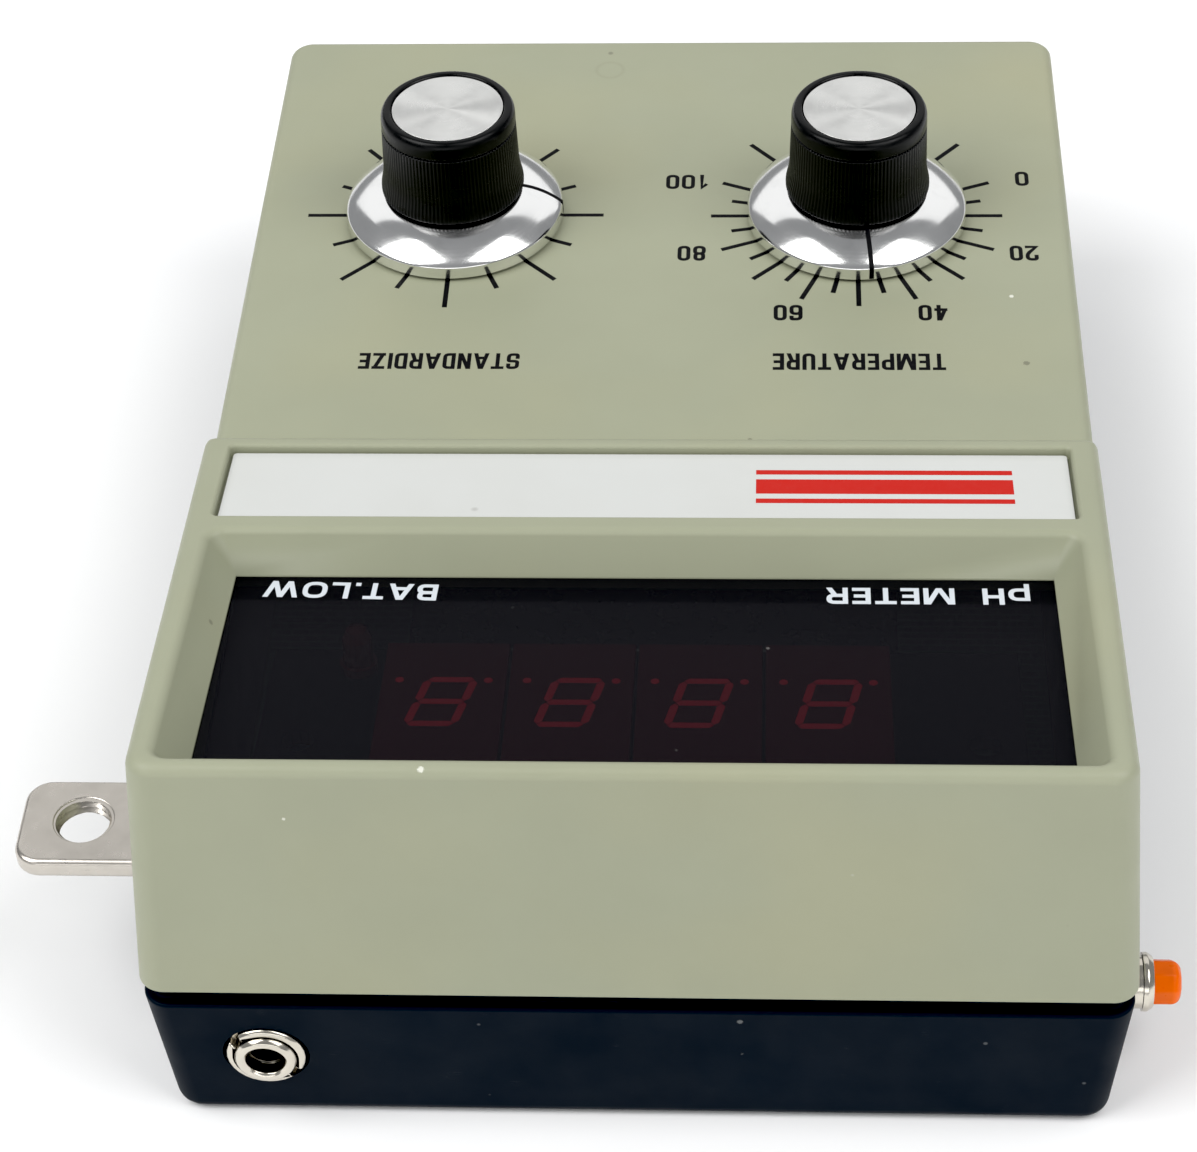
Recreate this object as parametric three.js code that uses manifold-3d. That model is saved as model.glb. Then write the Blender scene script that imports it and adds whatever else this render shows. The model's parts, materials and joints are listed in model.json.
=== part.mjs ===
// Portable digital pH meter: a two-part moulded case with a raised display, two skirted
// dial knobs, a read button, a recorder jack, an electrode socket and a 9 V battery.
// Millimetres, +Z up. The origin is the middle of the flat underside. +Y points to the
// display end, and +X to the side that carries the steel support tab.

import * as THREE from 'three';
import { mergeVertices } from 'three/addons/utils/BufferGeometryUtils.js';
import Module from 'manifold-3d';

const wasm = await Module();
wasm.setup();

// ---------------------------------------------------------------- driving dimensions

const GAP = 0.3; // clearance between pieces that touch
const OVER = 1; // how far a cutter runs past the face that it cuts
const WALL = 2.4; // shell wall
const DEG = Math.PI / 180;

// Case footprint, measured at the parting line
const HALF_W = 46.9;
const HALF_L = 68.9;
const CORNER_R = 2.6;
const SEAM_Z = 19.4;
const PANEL_Z = 34.5;
const BASE_TOP_Z = 17.3; // top of the base's full-width wall
const LIP_INSET = 1.1; // the base steps in here, which leaves a shadow groove under the lid

// Draft of the walls, as sideways run per unit of height
const SIDE_DRAFT = Math.tan(4.3 * DEG);
const END_DRAFT = Math.tan(3.6 * DEG);

// Raised display section: its sloping face has its own frame, with x across, s up the
// slope towards the display end, and n out of the face
const BEZEL_Y = 12.13;
const BEZEL_Z = 39.83;
const BEZEL_TILT = 8.5 * DEG;
const BEZEL_LENGTH = 55.7;

// Label recess and display recess, in the bezel frame
const LABEL = { halfX: 42.5, s0: 2.05, s1: 14.9, depth: 1.25, thick: 0.4 };
const RIM = { halfX: 42.6, s0: 17.4, s1: 53.7, radius: 1.6 };
const OPENING = { halfX: 39.9, s0: 19.4, s1: 52.5 };
const RECESS_DEPTH = 4.1;
const WINDOW = { thick: 1.8, land: 0.25, overlap: 1.3 }; // the land holds it from above
const FRAME_DEPTH = 6.6;

// Display: four 7.6 mm digits in 19 mm modules on a tilted board
const DIGIT = { pitch: 12.2, width: 11.9, length: 19, thick: 6.4, faceDepth: 8, s: 34.7, x: 0.3 };
const BOARD_THICK = 1.6;
const DISPLAY_BOARD = { halfX: 37, s0: 17.5, s1: 44.7, holeX: 33, holeS: 32.5 };
const LAMP = { x: 28.3, s: 20.7, radius: 1.5, flangeR: 1.9, length: 5.2 };

// Dials: centre of each control, and the angle of its pointer from +Y towards +X
const DIALS = [
  { name: 'standardize', x: 23.3, y: -32.3, pointer: -90 },
  { name: 'temperature', x: -22, y: -32.1, pointer: -6.75 },
];
const SHAFT_R = 3;
const BUSHING_R = 3.5;
const POT = { radius: 8.2, height: 9 };
const NUT_AF = 10;
const NUT_THICK = 1.5;
const KNOB = {
  skirtR: 12.25, skirtZ: 34.9, skirtRimZ: 36.7, coneTopR: 7.5, coneTopZ: 38.75,
  hubR: 7, hubZ: 37.4, hollowR: 4.6, baseR: 8, bodyR: 7.55, topR: 7.1, baseZ: 39.05, topZ: 49.3,
  inlayR: 6.05, inlayDepth: 0.7, boreTopZ: 46.5, boreZ: 39.4, screwZ: 42.6,
};

// Read button in the side wall of the base, and recorder jack in its end wall
const BUTTON = {
  y: 58, z: 9.6, capAcross: 4.2, tipX: -52.3, ringX: -49.6, bushingR: 2.6, flangeR: 2.9, nutX: -43.05,
};
const JACK = { x: 35.6, z: 9.7, boreR: 1.85, bushingR: 3, nutR: 3.88, faceY: 69.4 };

// Electrode socket in the user's end wall
const SOCKET = { x: -36, z: 10.5, barrelR: 4.8, bushingR: 4.7, reach: 11 };

// Steel tab with a threaded hole, held between the two shells
const TAB = {
  z: 19.7, thick: 2.2, y0: 43.9, y1: 55, outerX: 60.9, innerX: 34, holeX: 54.6, holeY: 49.3, holeR: 2.95,
  screwX: 38.2, screwYs: [46.4, 51.6],
};

// Battery bay in the base
const BATTERY = { length: 48.5, width: 26.5, height: 17.5, y: -50.2, z: 2.75 };
const DOOR = { halfX: 29, y0: -67.4, y1: -34.6, z: 0.3, thick: 1.8, tongue: 1.2 };

// Main circuit board, on posts in the base
const MAIN_BOARD = { halfX: 42, y0: -27, y1: 41, z: 8 };

// Posts that stand on the floor of the base
const FLOOR_Z = WALL - 0.5;
const POST = { caseR: 3.2, tabR: 2.3, boardR: 2.4 };

// Case screws: near the corners of the user's half, and closer together at the display end
const CASE_SCREWS = [
  { x: 40.6, y: -22 },
  { x: -40.6, y: -22 },
  { x: 20, y: 62.4 },
  { x: -20, y: 62.4 },
];

// ---------------------------------------------------------------- materials

function finish(color, roughness, metalness = 0) {
  return { color, roughness, metalness };
}

const SAGE = finish(0xa9aa8d, 0.5);
const NAVY = finish(0x151a26, 0.55);
const SATIN_WHITE = finish(0xdcdcd8, 0.35);
const RED_FILTER = finish(0x1a0508, 0.12);
const MODULE_RED = finish(0x5a0d10, 0.4);
const BLACK = finish(0x0d0d10, 0.35);
const NICKEL = finish(0xc6c2b8, 0.25, 1);
const ALUMINIUM = finish(0xd8d8d6, 0.22, 1);
const STEEL = finish(0xb3aaa2, 0.32, 1);
const BOARD_GREEN = finish(0x2f5d3a, 0.5);
const ORANGE = finish(0xe2620e, 0.35);
const ZINC = finish(0xa7a9a4, 0.4, 1);
const CLEAR_RED = finish(0xb01818, 0.2);
const BRASS = finish(0xc2a14d, 0.3, 1);
const CREAM = finish(0xe9e4d2, 0.4);
const CELL_BLUE = finish(0x2a4a7a, 0.4);
const WIRE_RED = finish(0xb02020, 0.5);
const WIRE_GREY = finish(0x77787a, 0.5);
const TRIM_BLUE = finish(0x2b5fa8, 0.4);

// ---------------------------------------------------------------- solids

function withoutSlivers(index) {
  const kept = [];
  for (let i = 0; i < index.length; i += 3) {
    const [a, b, c] = [index[i], index[i + 1], index[i + 2]];
    if (a !== b && b !== c && c !== a) kept.push(a, b, c);
  }
  return kept;
}

function welded(geometry) {
  const bare = geometry.clone();
  bare.deleteAttribute('normal');
  bare.deleteAttribute('uv');
  const merged = mergeVertices(bare, 1e-4);
  merged.setIndex(withoutSlivers(merged.index.array));
  return merged;
}

function solid(geometry) {
  const merged = welded(geometry);
  return new wasm.Manifold(new wasm.Mesh({
    numProp: 3,
    vertProperties: new Float32Array(merged.attributes.position.array),
    triVerts: new Uint32Array(merged.index.array),
  }));
}

function surface(body) {
  const mesh = body.getMesh();
  const geometry = new THREE.BufferGeometry();
  geometry.setAttribute('position', new THREE.BufferAttribute(new Float32Array(mesh.vertProperties), 3));
  geometry.setIndex(Array.from(mesh.triVerts));
  geometry.computeVertexNormals();
  return geometry;
}

function joined(...geometries) {
  return surface(geometries.map(solid).reduce((sum, next) => sum.add(next)));
}

function cut(geometry, ...cutters) {
  return surface(cutters.map(solid).reduce((rest, next) => rest.subtract(next), solid(geometry)));
}

function shared(geometry, other) {
  return surface(solid(geometry).intersect(solid(other)));
}

// ---------------------------------------------------------------- basic shapes

function block(x0, x1, y0, y1, z0, z1) {
  const geometry = new THREE.BoxGeometry(x1 - x0, y1 - y0, z1 - z0);
  return geometry.translate((x0 + x1) / 2, (y0 + y1) / 2, (z0 + z1) / 2);
}

// A cylinder or regular prism that stands on z0
function rod(radius, z0, z1, sides = 24, x = 0, y = 0) {
  const geometry = new THREE.CylinderGeometry(radius, radius, z1 - z0, sides);
  return geometry.rotateX(Math.PI / 2).translate(x, y, (z0 + z1) / 2);
}

function hexagon(acrossFlats, z0, z1) {
  return rod(acrossFlats / 2 / Math.cos(30 * DEG), z0, z1, 6);
}

// Profiles run anticlockwise in the radius and height plane, so that the surface faces out
function anticlockwise(profile) {
  const area = profile.reduce((sum, [r, z], i) => {
    const [nextR, nextZ] = profile[(i + 1) % profile.length];
    return sum + r * nextZ - nextR * z;
  }, 0);
  return area > 0 ? profile : [...profile].reverse();
}

function lathe(profile, segments) {
  const points = profile.map(([r, z]) => new THREE.Vector2(r, z));
  return new THREE.LatheGeometry(points, segments).rotateX(Math.PI / 2);
}

// A turned solid about Z, from [radius, height] pairs that start and end on the axis
function turned(profile, segments = 32) {
  return lathe(anticlockwise(profile), segments);
}

// A turned ring about Z: the profile is closed by repeating its first point
function turnedRing(profile, segments = 32) {
  const outline = anticlockwise(profile);
  return lathe([...outline, outline[0]], segments);
}

// Rectangles are given by their edges, and all their corners share one radius
function roundedOutline(x0, x1, y0, y1, radius) {
  const shape = new THREE.Shape();
  shape.absarc(x1 - radius, y0 + radius, radius, -90 * DEG, 0);
  shape.absarc(x1 - radius, y1 - radius, radius, 0, 90 * DEG);
  shape.absarc(x0 + radius, y1 - radius, radius, 90 * DEG, 180 * DEG);
  shape.absarc(x0 + radius, y0 + radius, radius, 180 * DEG, 270 * DEG);
  return shape;
}

function plate(outline, z0, z1, curveSegments = 3) {
  const options = { depth: z1 - z0, bevelEnabled: false, curveSegments };
  return new THREE.ExtrudeGeometry(outline, options).translate(0, 0, z0);
}

// Leans the walls of an upright prism: each side moves in by its run per unit of height
// above the height where the outline holds
function leaned(geometry, heldZ, runX, runNearY, runFarY) {
  const position = geometry.attributes.position;
  for (let i = 0; i < position.count; i += 1) {
    const rise = position.getZ(i) - heldZ;
    const y = position.getY(i);
    position.setX(i, position.getX(i) - Math.sign(position.getX(i)) * runX * rise);
    position.setY(i, y - (y > 0 ? runFarY : -runNearY) * rise);
  }
  return geometry;
}

// A block with the plan shape of the case, inset from its outside
function caseBlock(inset, z0, z1, draftSign) {
  const radius = Math.max(CORNER_R - inset, 0.6);
  const [x, y] = [HALF_W - inset, HALF_L - inset];
  const prism = plate(roundedOutline(-x, x, -y, y, radius), z0, z1, inset < WALL ? 6 : 2);
  const [side, end] = [draftSign * SIDE_DRAFT, draftSign * END_DRAFT];
  return leaned(prism, SEAM_Z, side, draftSign > 0 ? SIDE_DRAFT : end, end);
}

// Puts geometry that was made in the bezel frame into the case
function onBezel(geometry) {
  return geometry.rotateX(BEZEL_TILT).translate(0, BEZEL_Y, BEZEL_Z);
}

// Turns geometry made along +Z so that it points along another axis
function alongX(geometry) {
  return geometry.rotateY(90 * DEG);
}

function alongY(geometry) {
  return geometry.rotateX(-90 * DEG);
}

function wire(points, radius, steps) {
  const route = new THREE.CatmullRomCurve3(points.map(([x, y, z]) => new THREE.Vector3(x, y, z)));
  const section = new THREE.Shape();
  section.absarc(0, 0, radius, 0, 2 * Math.PI);
  const options = { steps, curveSegments: 3, bevelEnabled: false, extrudePath: route };
  return new THREE.ExtrudeGeometry(section, options);
}

// ---------------------------------------------------------------- assembly

const instrument = new THREE.Group();

function add(name, geometry, look) {
  const mesh = new THREE.Mesh(geometry, new THREE.MeshStandardMaterial(look));
  mesh.name = name;
  instrument.add(mesh);
  return mesh;
}

// The volume under the lid's top surfaces: low over the controls, high over the display
function underTop(lower) {
  const slopeEnd = BEZEL_LENGTH + 2 * OVER;
  const normal = [Math.sin(BEZEL_TILT) * lower, Math.cos(BEZEL_TILT) * lower];
  const [riserY, slopeY, slopeZ] = [BEZEL_Y + lower, BEZEL_Y + normal[0], BEZEL_Z - normal[1]];
  const top = slopeZ + (riserY - slopeY) * Math.tan(BEZEL_TILT);
  const profile = new THREE.Shape();
  profile.moveTo(-HALF_L - OVER, 0);
  profile.lineTo(HALF_L + OVER, 0);
  profile.lineTo(slopeY + slopeEnd * Math.cos(BEZEL_TILT), slopeZ + slopeEnd * Math.sin(BEZEL_TILT));
  profile.lineTo(riserY, top);
  profile.lineTo(riserY, PANEL_Z - lower);
  profile.lineTo(-HALF_L - OVER, PANEL_Z - lower);
  profile.closePath();
  const width = 2 * HALF_W + 2 * OVER;
  return plate(profile, -width / 2, width / 2).rotateZ(90 * DEG).rotateY(90 * DEG);
}

function screwPost(place, radius, z0, z1) {
  return rod(radius, z0, z1, 14, place.x, place.y);
}

// A block through the side wall where the steel tab comes out
function tabOpening(z0, z1) {
  return block(HALF_W - 2 * WALL, HALF_W + OVER, TAB.y0 - GAP, TAB.y1 + GAP, z0, z1);
}

function upperShell() {
  const top = BEZEL_Z + BEZEL_LENGTH;
  const outside = shared(caseBlock(0, SEAM_Z, top, 1), underTop(0));
  const inside = shared(caseBlock(WALL, SEAM_Z - OVER, top, 1), underTop(WALL));
  const hollow = cut(outside, inside);

  // Frame around the display recess, kept inside the outer walls
  const frameBlock = block(-HALF_W, HALF_W, RIM.s0 - 2, BEZEL_LENGTH + 2, -FRAME_DEPTH, -0.5);
  const frame = shared(onBezel(frameBlock), outside);
  const posts = CASE_SCREWS.map((place) => {
    const roof = place.y > 0 ? BEZEL_Z - 6 : PANEL_Z - 1;
    return shared(screwPost(place, POST.caseR, SEAM_Z, roof), outside);
  });
  const body = joined(hollow, frame, ...posts);

  const { halfX, s0, s1 } = OPENING;
  const through = block(-halfX, halfX, s0, s1, -FRAME_DEPTH - OVER, -RECESS_DEPTH + 0.01);
  const side = WINDOW.overlap + GAP;
  const pocketTop = -RECESS_DEPTH - WINDOW.land;
  const pocketBottom = -FRAME_DEPTH - OVER;
  const pocket = block(-halfX - side, halfX + side, s0 - side, s1 + side, pocketBottom, pocketTop);
  const labelOutline = roundedOutline(-LABEL.halfX, LABEL.halfX, LABEL.s0, LABEL.s1, 0.5);
  const bezelCuts = [funnel(), through, pocket, plate(labelOutline, -LABEL.depth, OVER)].map(onBezel);

  const dialHoles = DIALS.map((dial) => (
    rod(BUSHING_R + GAP, PANEL_Z - WALL - OVER, PANEL_Z + OVER, 24, dial.x, dial.y)
  ));
  const tabSlot = tabOpening(SEAM_Z - OVER, TAB.z + TAB.thick + GAP);
  const pilots = CASE_SCREWS.map((place) => screwPost(place, 1.5, SEAM_Z - OVER, SEAM_Z + 8));
  return cut(body, ...bezelCuts, ...dialHoles, tabSlot, ...pilots);
}

// The display recess: a rim with rounded corners that narrows to square corners at the window
function funnel() {
  const outline = roundedOutline(-RIM.halfX, RIM.halfX, RIM.s0, RIM.s1, RIM.radius);
  const geometry = plate(outline, -RECESS_DEPTH, OVER);
  const position = geometry.attributes.position;
  const middle = (RIM.s0 + RIM.s1) / 2;
  for (let i = 0; i < position.count; i += 1) {
    const share = (position.getZ(i) + RECESS_DEPTH) / RECESS_DEPTH;
    const cornerX = Math.sign(position.getX(i)) * OPENING.halfX;
    const cornerY = position.getY(i) < middle ? OPENING.s0 : OPENING.s1;
    position.setX(i, cornerX + (position.getX(i) - cornerX) * share);
    position.setY(i, cornerY + (position.getY(i) - cornerY) * share);
  }
  return geometry;
}

function lowerShell() {
  const full = caseBlock(0, 0, BASE_TOP_Z, -1);
  const lip = caseBlock(LIP_INSET, BASE_TOP_Z - OVER, SEAM_Z - 0.1, -1);
  const hollow = cut(joined(full, lip), caseBlock(WALL + 0.2, WALL, SEAM_Z + OVER, -1));

  const inside = caseBlock(0.8, 0, SEAM_Z - 0.1, -1);
  const posts = [
    ...CASE_SCREWS.map((place) => screwPost(place, POST.caseR, FLOOR_Z, SEAM_Z - 0.1)),
    ...TAB.screwYs.map((y) => rod(POST.tabR, FLOOR_Z, TAB.z - GAP, 12, TAB.screwX, y)),
    ...boardCorners().map(([x, y]) => rod(POST.boardR, FLOOR_Z, MAIN_BOARD.z - GAP, 12, x, y)),
  ].map((post) => shared(post, inside));
  const ribs = [-1, 1].map((side) => (
    block(side * 31 - 0.8, side * 31 + 0.8, DOOR.y0 + 7, DOOR.y1 + 2, FLOOR_Z, 9)
  ));
  const body = joined(hollow, ...posts, ...ribs);

  const jackBore = rod(JACK.bushingR + 0.15, 55, HALF_L + OVER, 24);
  const jackSink = rod(JACK.nutR + GAP, HALF_L - 2.1, HALF_L + OVER, 28);
  const buttonHole = rod(BUTTON.bushingR + 0.15, -HALF_W - OVER, -HALF_W + 8, 24);
  const buttonPocket = rod(4.9, BUTTON.nutX - NUT_THICK - 0.15, -HALF_W + 8, 24);
  const socketHole = rod(SOCKET.bushingR + GAP, -HALF_L - OVER, -HALF_L + 8, 24);
  const wallHoles = [
    alongY(jackBore).translate(JACK.x, 0, JACK.z),
    alongY(jackSink).translate(JACK.x, 0, JACK.z),
    alongX(buttonHole).translate(0, BUTTON.y, BUTTON.z),
    alongX(buttonPocket).translate(0, BUTTON.y, BUTTON.z),
    alongY(socketHole).translate(SOCKET.x, 0, SOCKET.z),
  ];
  const screwHoles = [
    ...CASE_SCREWS.map((place) => screwPost(place, 1.7, -OVER, SEAM_Z + OVER)),
    ...CASE_SCREWS.map((place) => screwPost(place, 3, -OVER, 2.6)),
    ...TAB.screwYs.map((y) => rod(1.35, 9, SEAM_Z + OVER, 10, TAB.screwX, y)),
    ...boardCorners().map(([x, y]) => rod(1, 4, MAIN_BOARD.z, 10, x, y)),
  ];
  const tabNotch = tabOpening(TAB.z - GAP, SEAM_Z + OVER);
  return cut(body, ...wallHoles, ...screwHoles, tabNotch, ...doorway());
}

// The battery door slides in on its tongues, between the floor and the ledge under the bay
function doorway() {
  const [y0, y1] = [-HALF_L - OVER, DOOR.y1 + GAP];
  const [outer, inner] = [DOOR.halfX + GAP, DOOR.halfX - DOOR.tongue];
  return [
    block(-inner, inner, y0, y1, -OVER, WALL + 0.1),
    block(-outer, outer, y0, y1, 0.8, 1.95),
    block(-inner - GAP, inner + GAP, y0, y1, -OVER, 0.9),
  ];
}

function boardCorners() {
  const [x, y0, y1] = [MAIN_BOARD.halfX - 3.4, MAIN_BOARD.y0 + 3.4, MAIN_BOARD.y1 - 3.4];
  return [[x, y0 + 11], [-x, y0 + 11], [x, y1], [-x, y1]];
}

function addCase() {
  add('upper_shell', upperShell(), SAGE);
  add('lower_shell', lowerShell(), NAVY);
  CASE_SCREWS.forEach((place, i) => {
    const profile = [[0, 0.7], [2.6, 0.7], [2.6, 1.3], [1.3, 2.2], [1.3, 24], [0.5, 26.5], [0, 26.5]];
    const slot = block(-3, 3, -0.35, 0.35, 0, 1.2);
    add(`case_screw_${i + 1}`, cut(turned(profile, 16), slot).translate(place.x, place.y, 0), ZINC);
  });
}

function addDisplay() {
  const labelX = LABEL.halfX - GAP;
  const labelOutline = roundedOutline(-labelX, labelX, LABEL.s0 + GAP, LABEL.s1 - GAP, 0.4);
  const labelBottom = -LABEL.depth + 0.05;
  add('label_strip', onBezel(plate(labelOutline, labelBottom, labelBottom + LABEL.thick)), SATIN_WHITE);

  const windowTop = -RECESS_DEPTH - WINDOW.land - 0.05;
  const x = OPENING.halfX + WINDOW.overlap;
  const [s0, s1] = [OPENING.s0 - WINDOW.overlap, OPENING.s1 + WINDOW.overlap];
  add('display_window', onBezel(block(-x, x, s0, s1, windowTop - WINDOW.thick, windowTop)), RED_FILTER);

  for (let i = 0; i < 4; i += 1) {
    const middle = DIGIT.x + (1.5 - i) * DIGIT.pitch;
    const body = block(
      middle - DIGIT.width / 2, middle + DIGIT.width / 2,
      DIGIT.s - DIGIT.length / 2, DIGIT.s + DIGIT.length / 2,
      -DIGIT.faceDepth - DIGIT.thick, -DIGIT.faceDepth,
    );
    add(`digit_${i + 1}`, onBezel(body), MODULE_RED);
  }

  const boardTop = -DIGIT.faceDepth - DIGIT.thick - 0.1;
  const boardBottom = boardTop - BOARD_THICK;
  const { halfX, holeX, holeS } = DISPLAY_BOARD;
  const board = block(-halfX, halfX, DISPLAY_BOARD.s0, DISPLAY_BOARD.s1, boardBottom, boardTop);
  const holes = [-holeX, holeX].map((at) => rod(1.6, boardBottom - OVER, boardTop + OVER, 12, at, holeS));
  add('display_board', onBezel(cut(board, ...holes)), BOARD_GREEN);

  const { radius, flangeR, length } = LAMP;
  const lens = turned([
    [0, 0], [flangeR, 0], [flangeR, 0.9], [radius, 0.9], [radius, length - radius],
    [radius * 0.7, length - radius * 0.3], [0, length],
  ], 16);
  add('low_battery_lamp', onBezel(lens.translate(LAMP.x, LAMP.s, boardTop + 0.1)), CLEAR_RED);
}

function addControl(dial) {
  const place = (geometry) => geometry.translate(dial.x, dial.y, 0);
  const potTop = PANEL_Z - WALL - 0.2;
  const potBottom = potTop - POT.height;
  const can = turned([
    [0, potBottom], [POT.radius, potBottom], [POT.radius, potTop], [SHAFT_R + 0.8, potTop],
    [SHAFT_R + 0.8, potBottom + 2], [0, potBottom + 2],
  ], 28);
  const lugs = [-5, 0, 5].map((x) => block(x - 0.8, x + 0.8, -13.4, -5, potBottom + 1, potBottom + 1.6));
  add(`${dial.name}_pot_body`, place(joined(can, ...lugs)), NICKEL);

  const bushingTop = PANEL_Z + 4;
  const bushing = turnedRing([
    [SHAFT_R + GAP, potTop + 0.1], [BUSHING_R, potTop + 0.1], [BUSHING_R, bushingTop],
    [SHAFT_R + GAP, bushingTop],
  ], 24);
  add(`${dial.name}_pot_bushing`, place(bushing), BRASS);

  const washerTop = PANEL_Z + 0.5;
  const washer = turnedRing([
    [BUSHING_R + GAP, PANEL_Z + 0.05], [6.2, PANEL_Z + 0.05], [6.2, washerTop],
    [BUSHING_R + GAP, washerTop],
  ], 24);
  add(`${dial.name}_pot_washer`, place(washer), ZINC);
  const nut = cut(hexagon(NUT_AF, washerTop + 0.05, washerTop + 2), rod(BUSHING_R + 0.1, 30, 40, 24));
  add(`${dial.name}_pot_nut`, place(nut), NICKEL);

  const shaft = turned([
    [0, potBottom + 2.3], [SHAFT_R, potBottom + 2.3], [SHAFT_R, 45.6], [SHAFT_R - 0.4, 46], [0, 46],
  ], 20);
  add(`${dial.name}_shaft`, place(shaft), ALUMINIUM);
  addKnob(dial, place);
}

function addKnob(dial, place) {
  const turn = -dial.pointer * DEG;
  const { baseZ, topZ, hubR, hubZ, baseR, bodyR, boreZ, boreTopZ, hollowR } = KNOB;
  const recess = [KNOB.inlayR + 0.2, topZ - KNOB.inlayDepth];
  const profile = [
    [0, boreTopZ], [SHAFT_R + 0.15, boreTopZ], [SHAFT_R + 0.15, boreZ], [hollowR, boreZ],
    [hollowR, hubZ], [hubR, hubZ], [hubR, baseZ], [baseR, baseZ], [baseR, baseZ + 1],
    [bodyR, baseZ + 2.2], [bodyR - 0.15, topZ - 2.1], [bodyR - 0.15, topZ - 0.5], [KNOB.topR, topZ],
    [recess[0], topZ], recess, [0, recess[1]],
  ];
  const towardsPointer = (geometry) => (
    geometry.rotateX(90 * DEG).rotateZ(turn).translate(0, 0, KNOB.screwZ)
  );
  const boredBody = cut(turned(profile, 36), towardsPointer(rod(1.35, 2.9, 9, 14)));
  add(`${dial.name}_knob_body`, place(boredBody), BLACK);

  const { skirtR, skirtZ, skirtRimZ, coneTopR, coneTopZ } = KNOB;
  const skirt = turnedRing([
    [skirtR, skirtZ], [skirtR, skirtRimZ - 0.15], [skirtR - 0.2, skirtRimZ + 0.05], [9.6, 37.75],
    [coneTopR, coneTopZ], [hubR + 0.15, coneTopZ], [hubR + 0.15, coneTopZ - 0.7], [9.3, 37.1],
    [skirtR - 0.8, skirtRimZ - 0.5], [skirtR - 0.7, skirtZ],
  ], 36);
  add(`${dial.name}_knob_skirt`, place(skirt), ALUMINIUM);

  const inlayZ = recess[1] + 0.05;
  add(`${dial.name}_knob_inlay`, place(rod(KNOB.inlayR, inlayZ, inlayZ + 0.5, 36)), ALUMINIUM);

  add(`${dial.name}_set_screw`, place(towardsPointer(rod(1.2, 3.35, 6.6, 12))), STEEL);
}

function addButton() {
  const place = (geometry) => alongX(geometry).translate(0, BUTTON.y, BUTTON.z);
  const { ringX, bushingR, flangeR, nutX } = BUTTON;
  const capRadius = BUTTON.capAcross / 2 / Math.cos(22.5 * DEG);
  const cap = turned([
    [0, BUTTON.tipX], [capRadius - 0.7, BUTTON.tipX], [capRadius, BUTTON.tipX + 0.6],
    [capRadius, ringX + 0.7], [0, ringX + 0.7],
  ], 8).rotateZ(22.5 * DEG);
  add('read_button_cap', place(cap), ORANGE);

  const plunger = turned([
    [0, ringX + 0.75], [1.2, ringX + 0.75], [1.2, -41.4], [2.4, -41.4], [2.4, -40.4], [1, -40.4],
    [1, -38], [0, -38],
  ], 16);
  add('read_button_plunger', place(plunger), CREAM);

  const bushing = turnedRing([
    [1.5, -43.1], [bushingR, -43.1], [bushingR, ringX + 1.1], [flangeR, ringX + 1.1],
    [flangeR, ringX + 0.5], [2.45, ringX], [2.35, ringX], [2.35, ringX + 2.6], [1.5, ringX + 2.6],
  ], 24);
  add('read_button_bushing', place(bushing), NICKEL);

  const nut = cut(hexagon(7.9, nutX - NUT_THICK, nutX), rod(bushingR + 0.1, -60, -40, 24));
  add('read_button_nut', place(nut), NICKEL);

  const housing = block(-4.2, 4.2, -4.2, 4.2, -42.9, -31.4);
  const chamber = rod(2.8, -42.1, -32.4, 16);
  const mouth = rod(1.5, -45, -42, 16);
  const terminals = [-2.2, 2.2].map((y) => block(-0.4, 0.4, y - 0.7, y + 0.7, -32, -27.6));
  add('read_button_housing', place(cut(joined(housing, ...terminals), chamber, mouth)), BLACK);

  const turns = 4;
  const [coilStart, coilEnd, coilR] = [-39.9, -32.8, 1.9];
  const coilPoints = [];
  for (let i = 0; i <= turns * 8; i += 1) {
    const angle = (i / 8) * 2 * Math.PI;
    const along = coilStart + ((coilEnd - coilStart) * i) / (turns * 8);
    coilPoints.push([coilR * Math.cos(angle), coilR * Math.sin(angle), along]);
  }
  add('read_button_spring', place(wire(coilPoints, 0.22, turns * 9)), STEEL);
}

function addJack() {
  const place = (geometry) => alongY(geometry).translate(JACK.x, 0, JACK.z);
  const { boreR, bushingR, nutR, faceY } = JACK;
  const innerY = HALF_L - WALL - 1.2;
  const bushing = turnedRing([
    [boreR, innerY], [bushingR, innerY], [bushingR, faceY - 0.3], [bushingR - 0.3, faceY],
    [boreR + 0.3, faceY], [boreR, faceY - 0.35],
  ], 28);
  add('recorder_jack_bushing', place(bushing), NICKEL);

  const ring = turnedRing([
    [bushingR + 0.05, HALF_L - 2], [nutR, HALF_L - 2], [nutR, HALF_L - 0.4],
    [nutR - 0.3, HALF_L - 0.1], [bushingR + 0.05, HALF_L - 0.1],
  ], 28);
  const notch = block(-6, 6, -0.7, 0.7, HALF_L - 1.2, HALF_L + OVER).rotateZ(-40 * DEG);
  add('recorder_jack_nut', place(cut(ring, notch)), NICKEL);

  const body = block(JACK.x - 5, JACK.x + 5, 56.2, innerY - 0.1, JACK.z - 4.4, JACK.z + 5);
  const bore = place(rod(boreR, 57.4, HALF_L, 20));
  const lugs = [-3, 0, 3].map((offset) => {
    const x = JACK.x + offset;
    return block(x - 0.6, x + 0.6, 54.2, 57, JACK.z - 0.2, JACK.z + 0.2);
  });
  add('recorder_jack_body', cut(joined(body, ...lugs), bore), BLACK);
}

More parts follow.
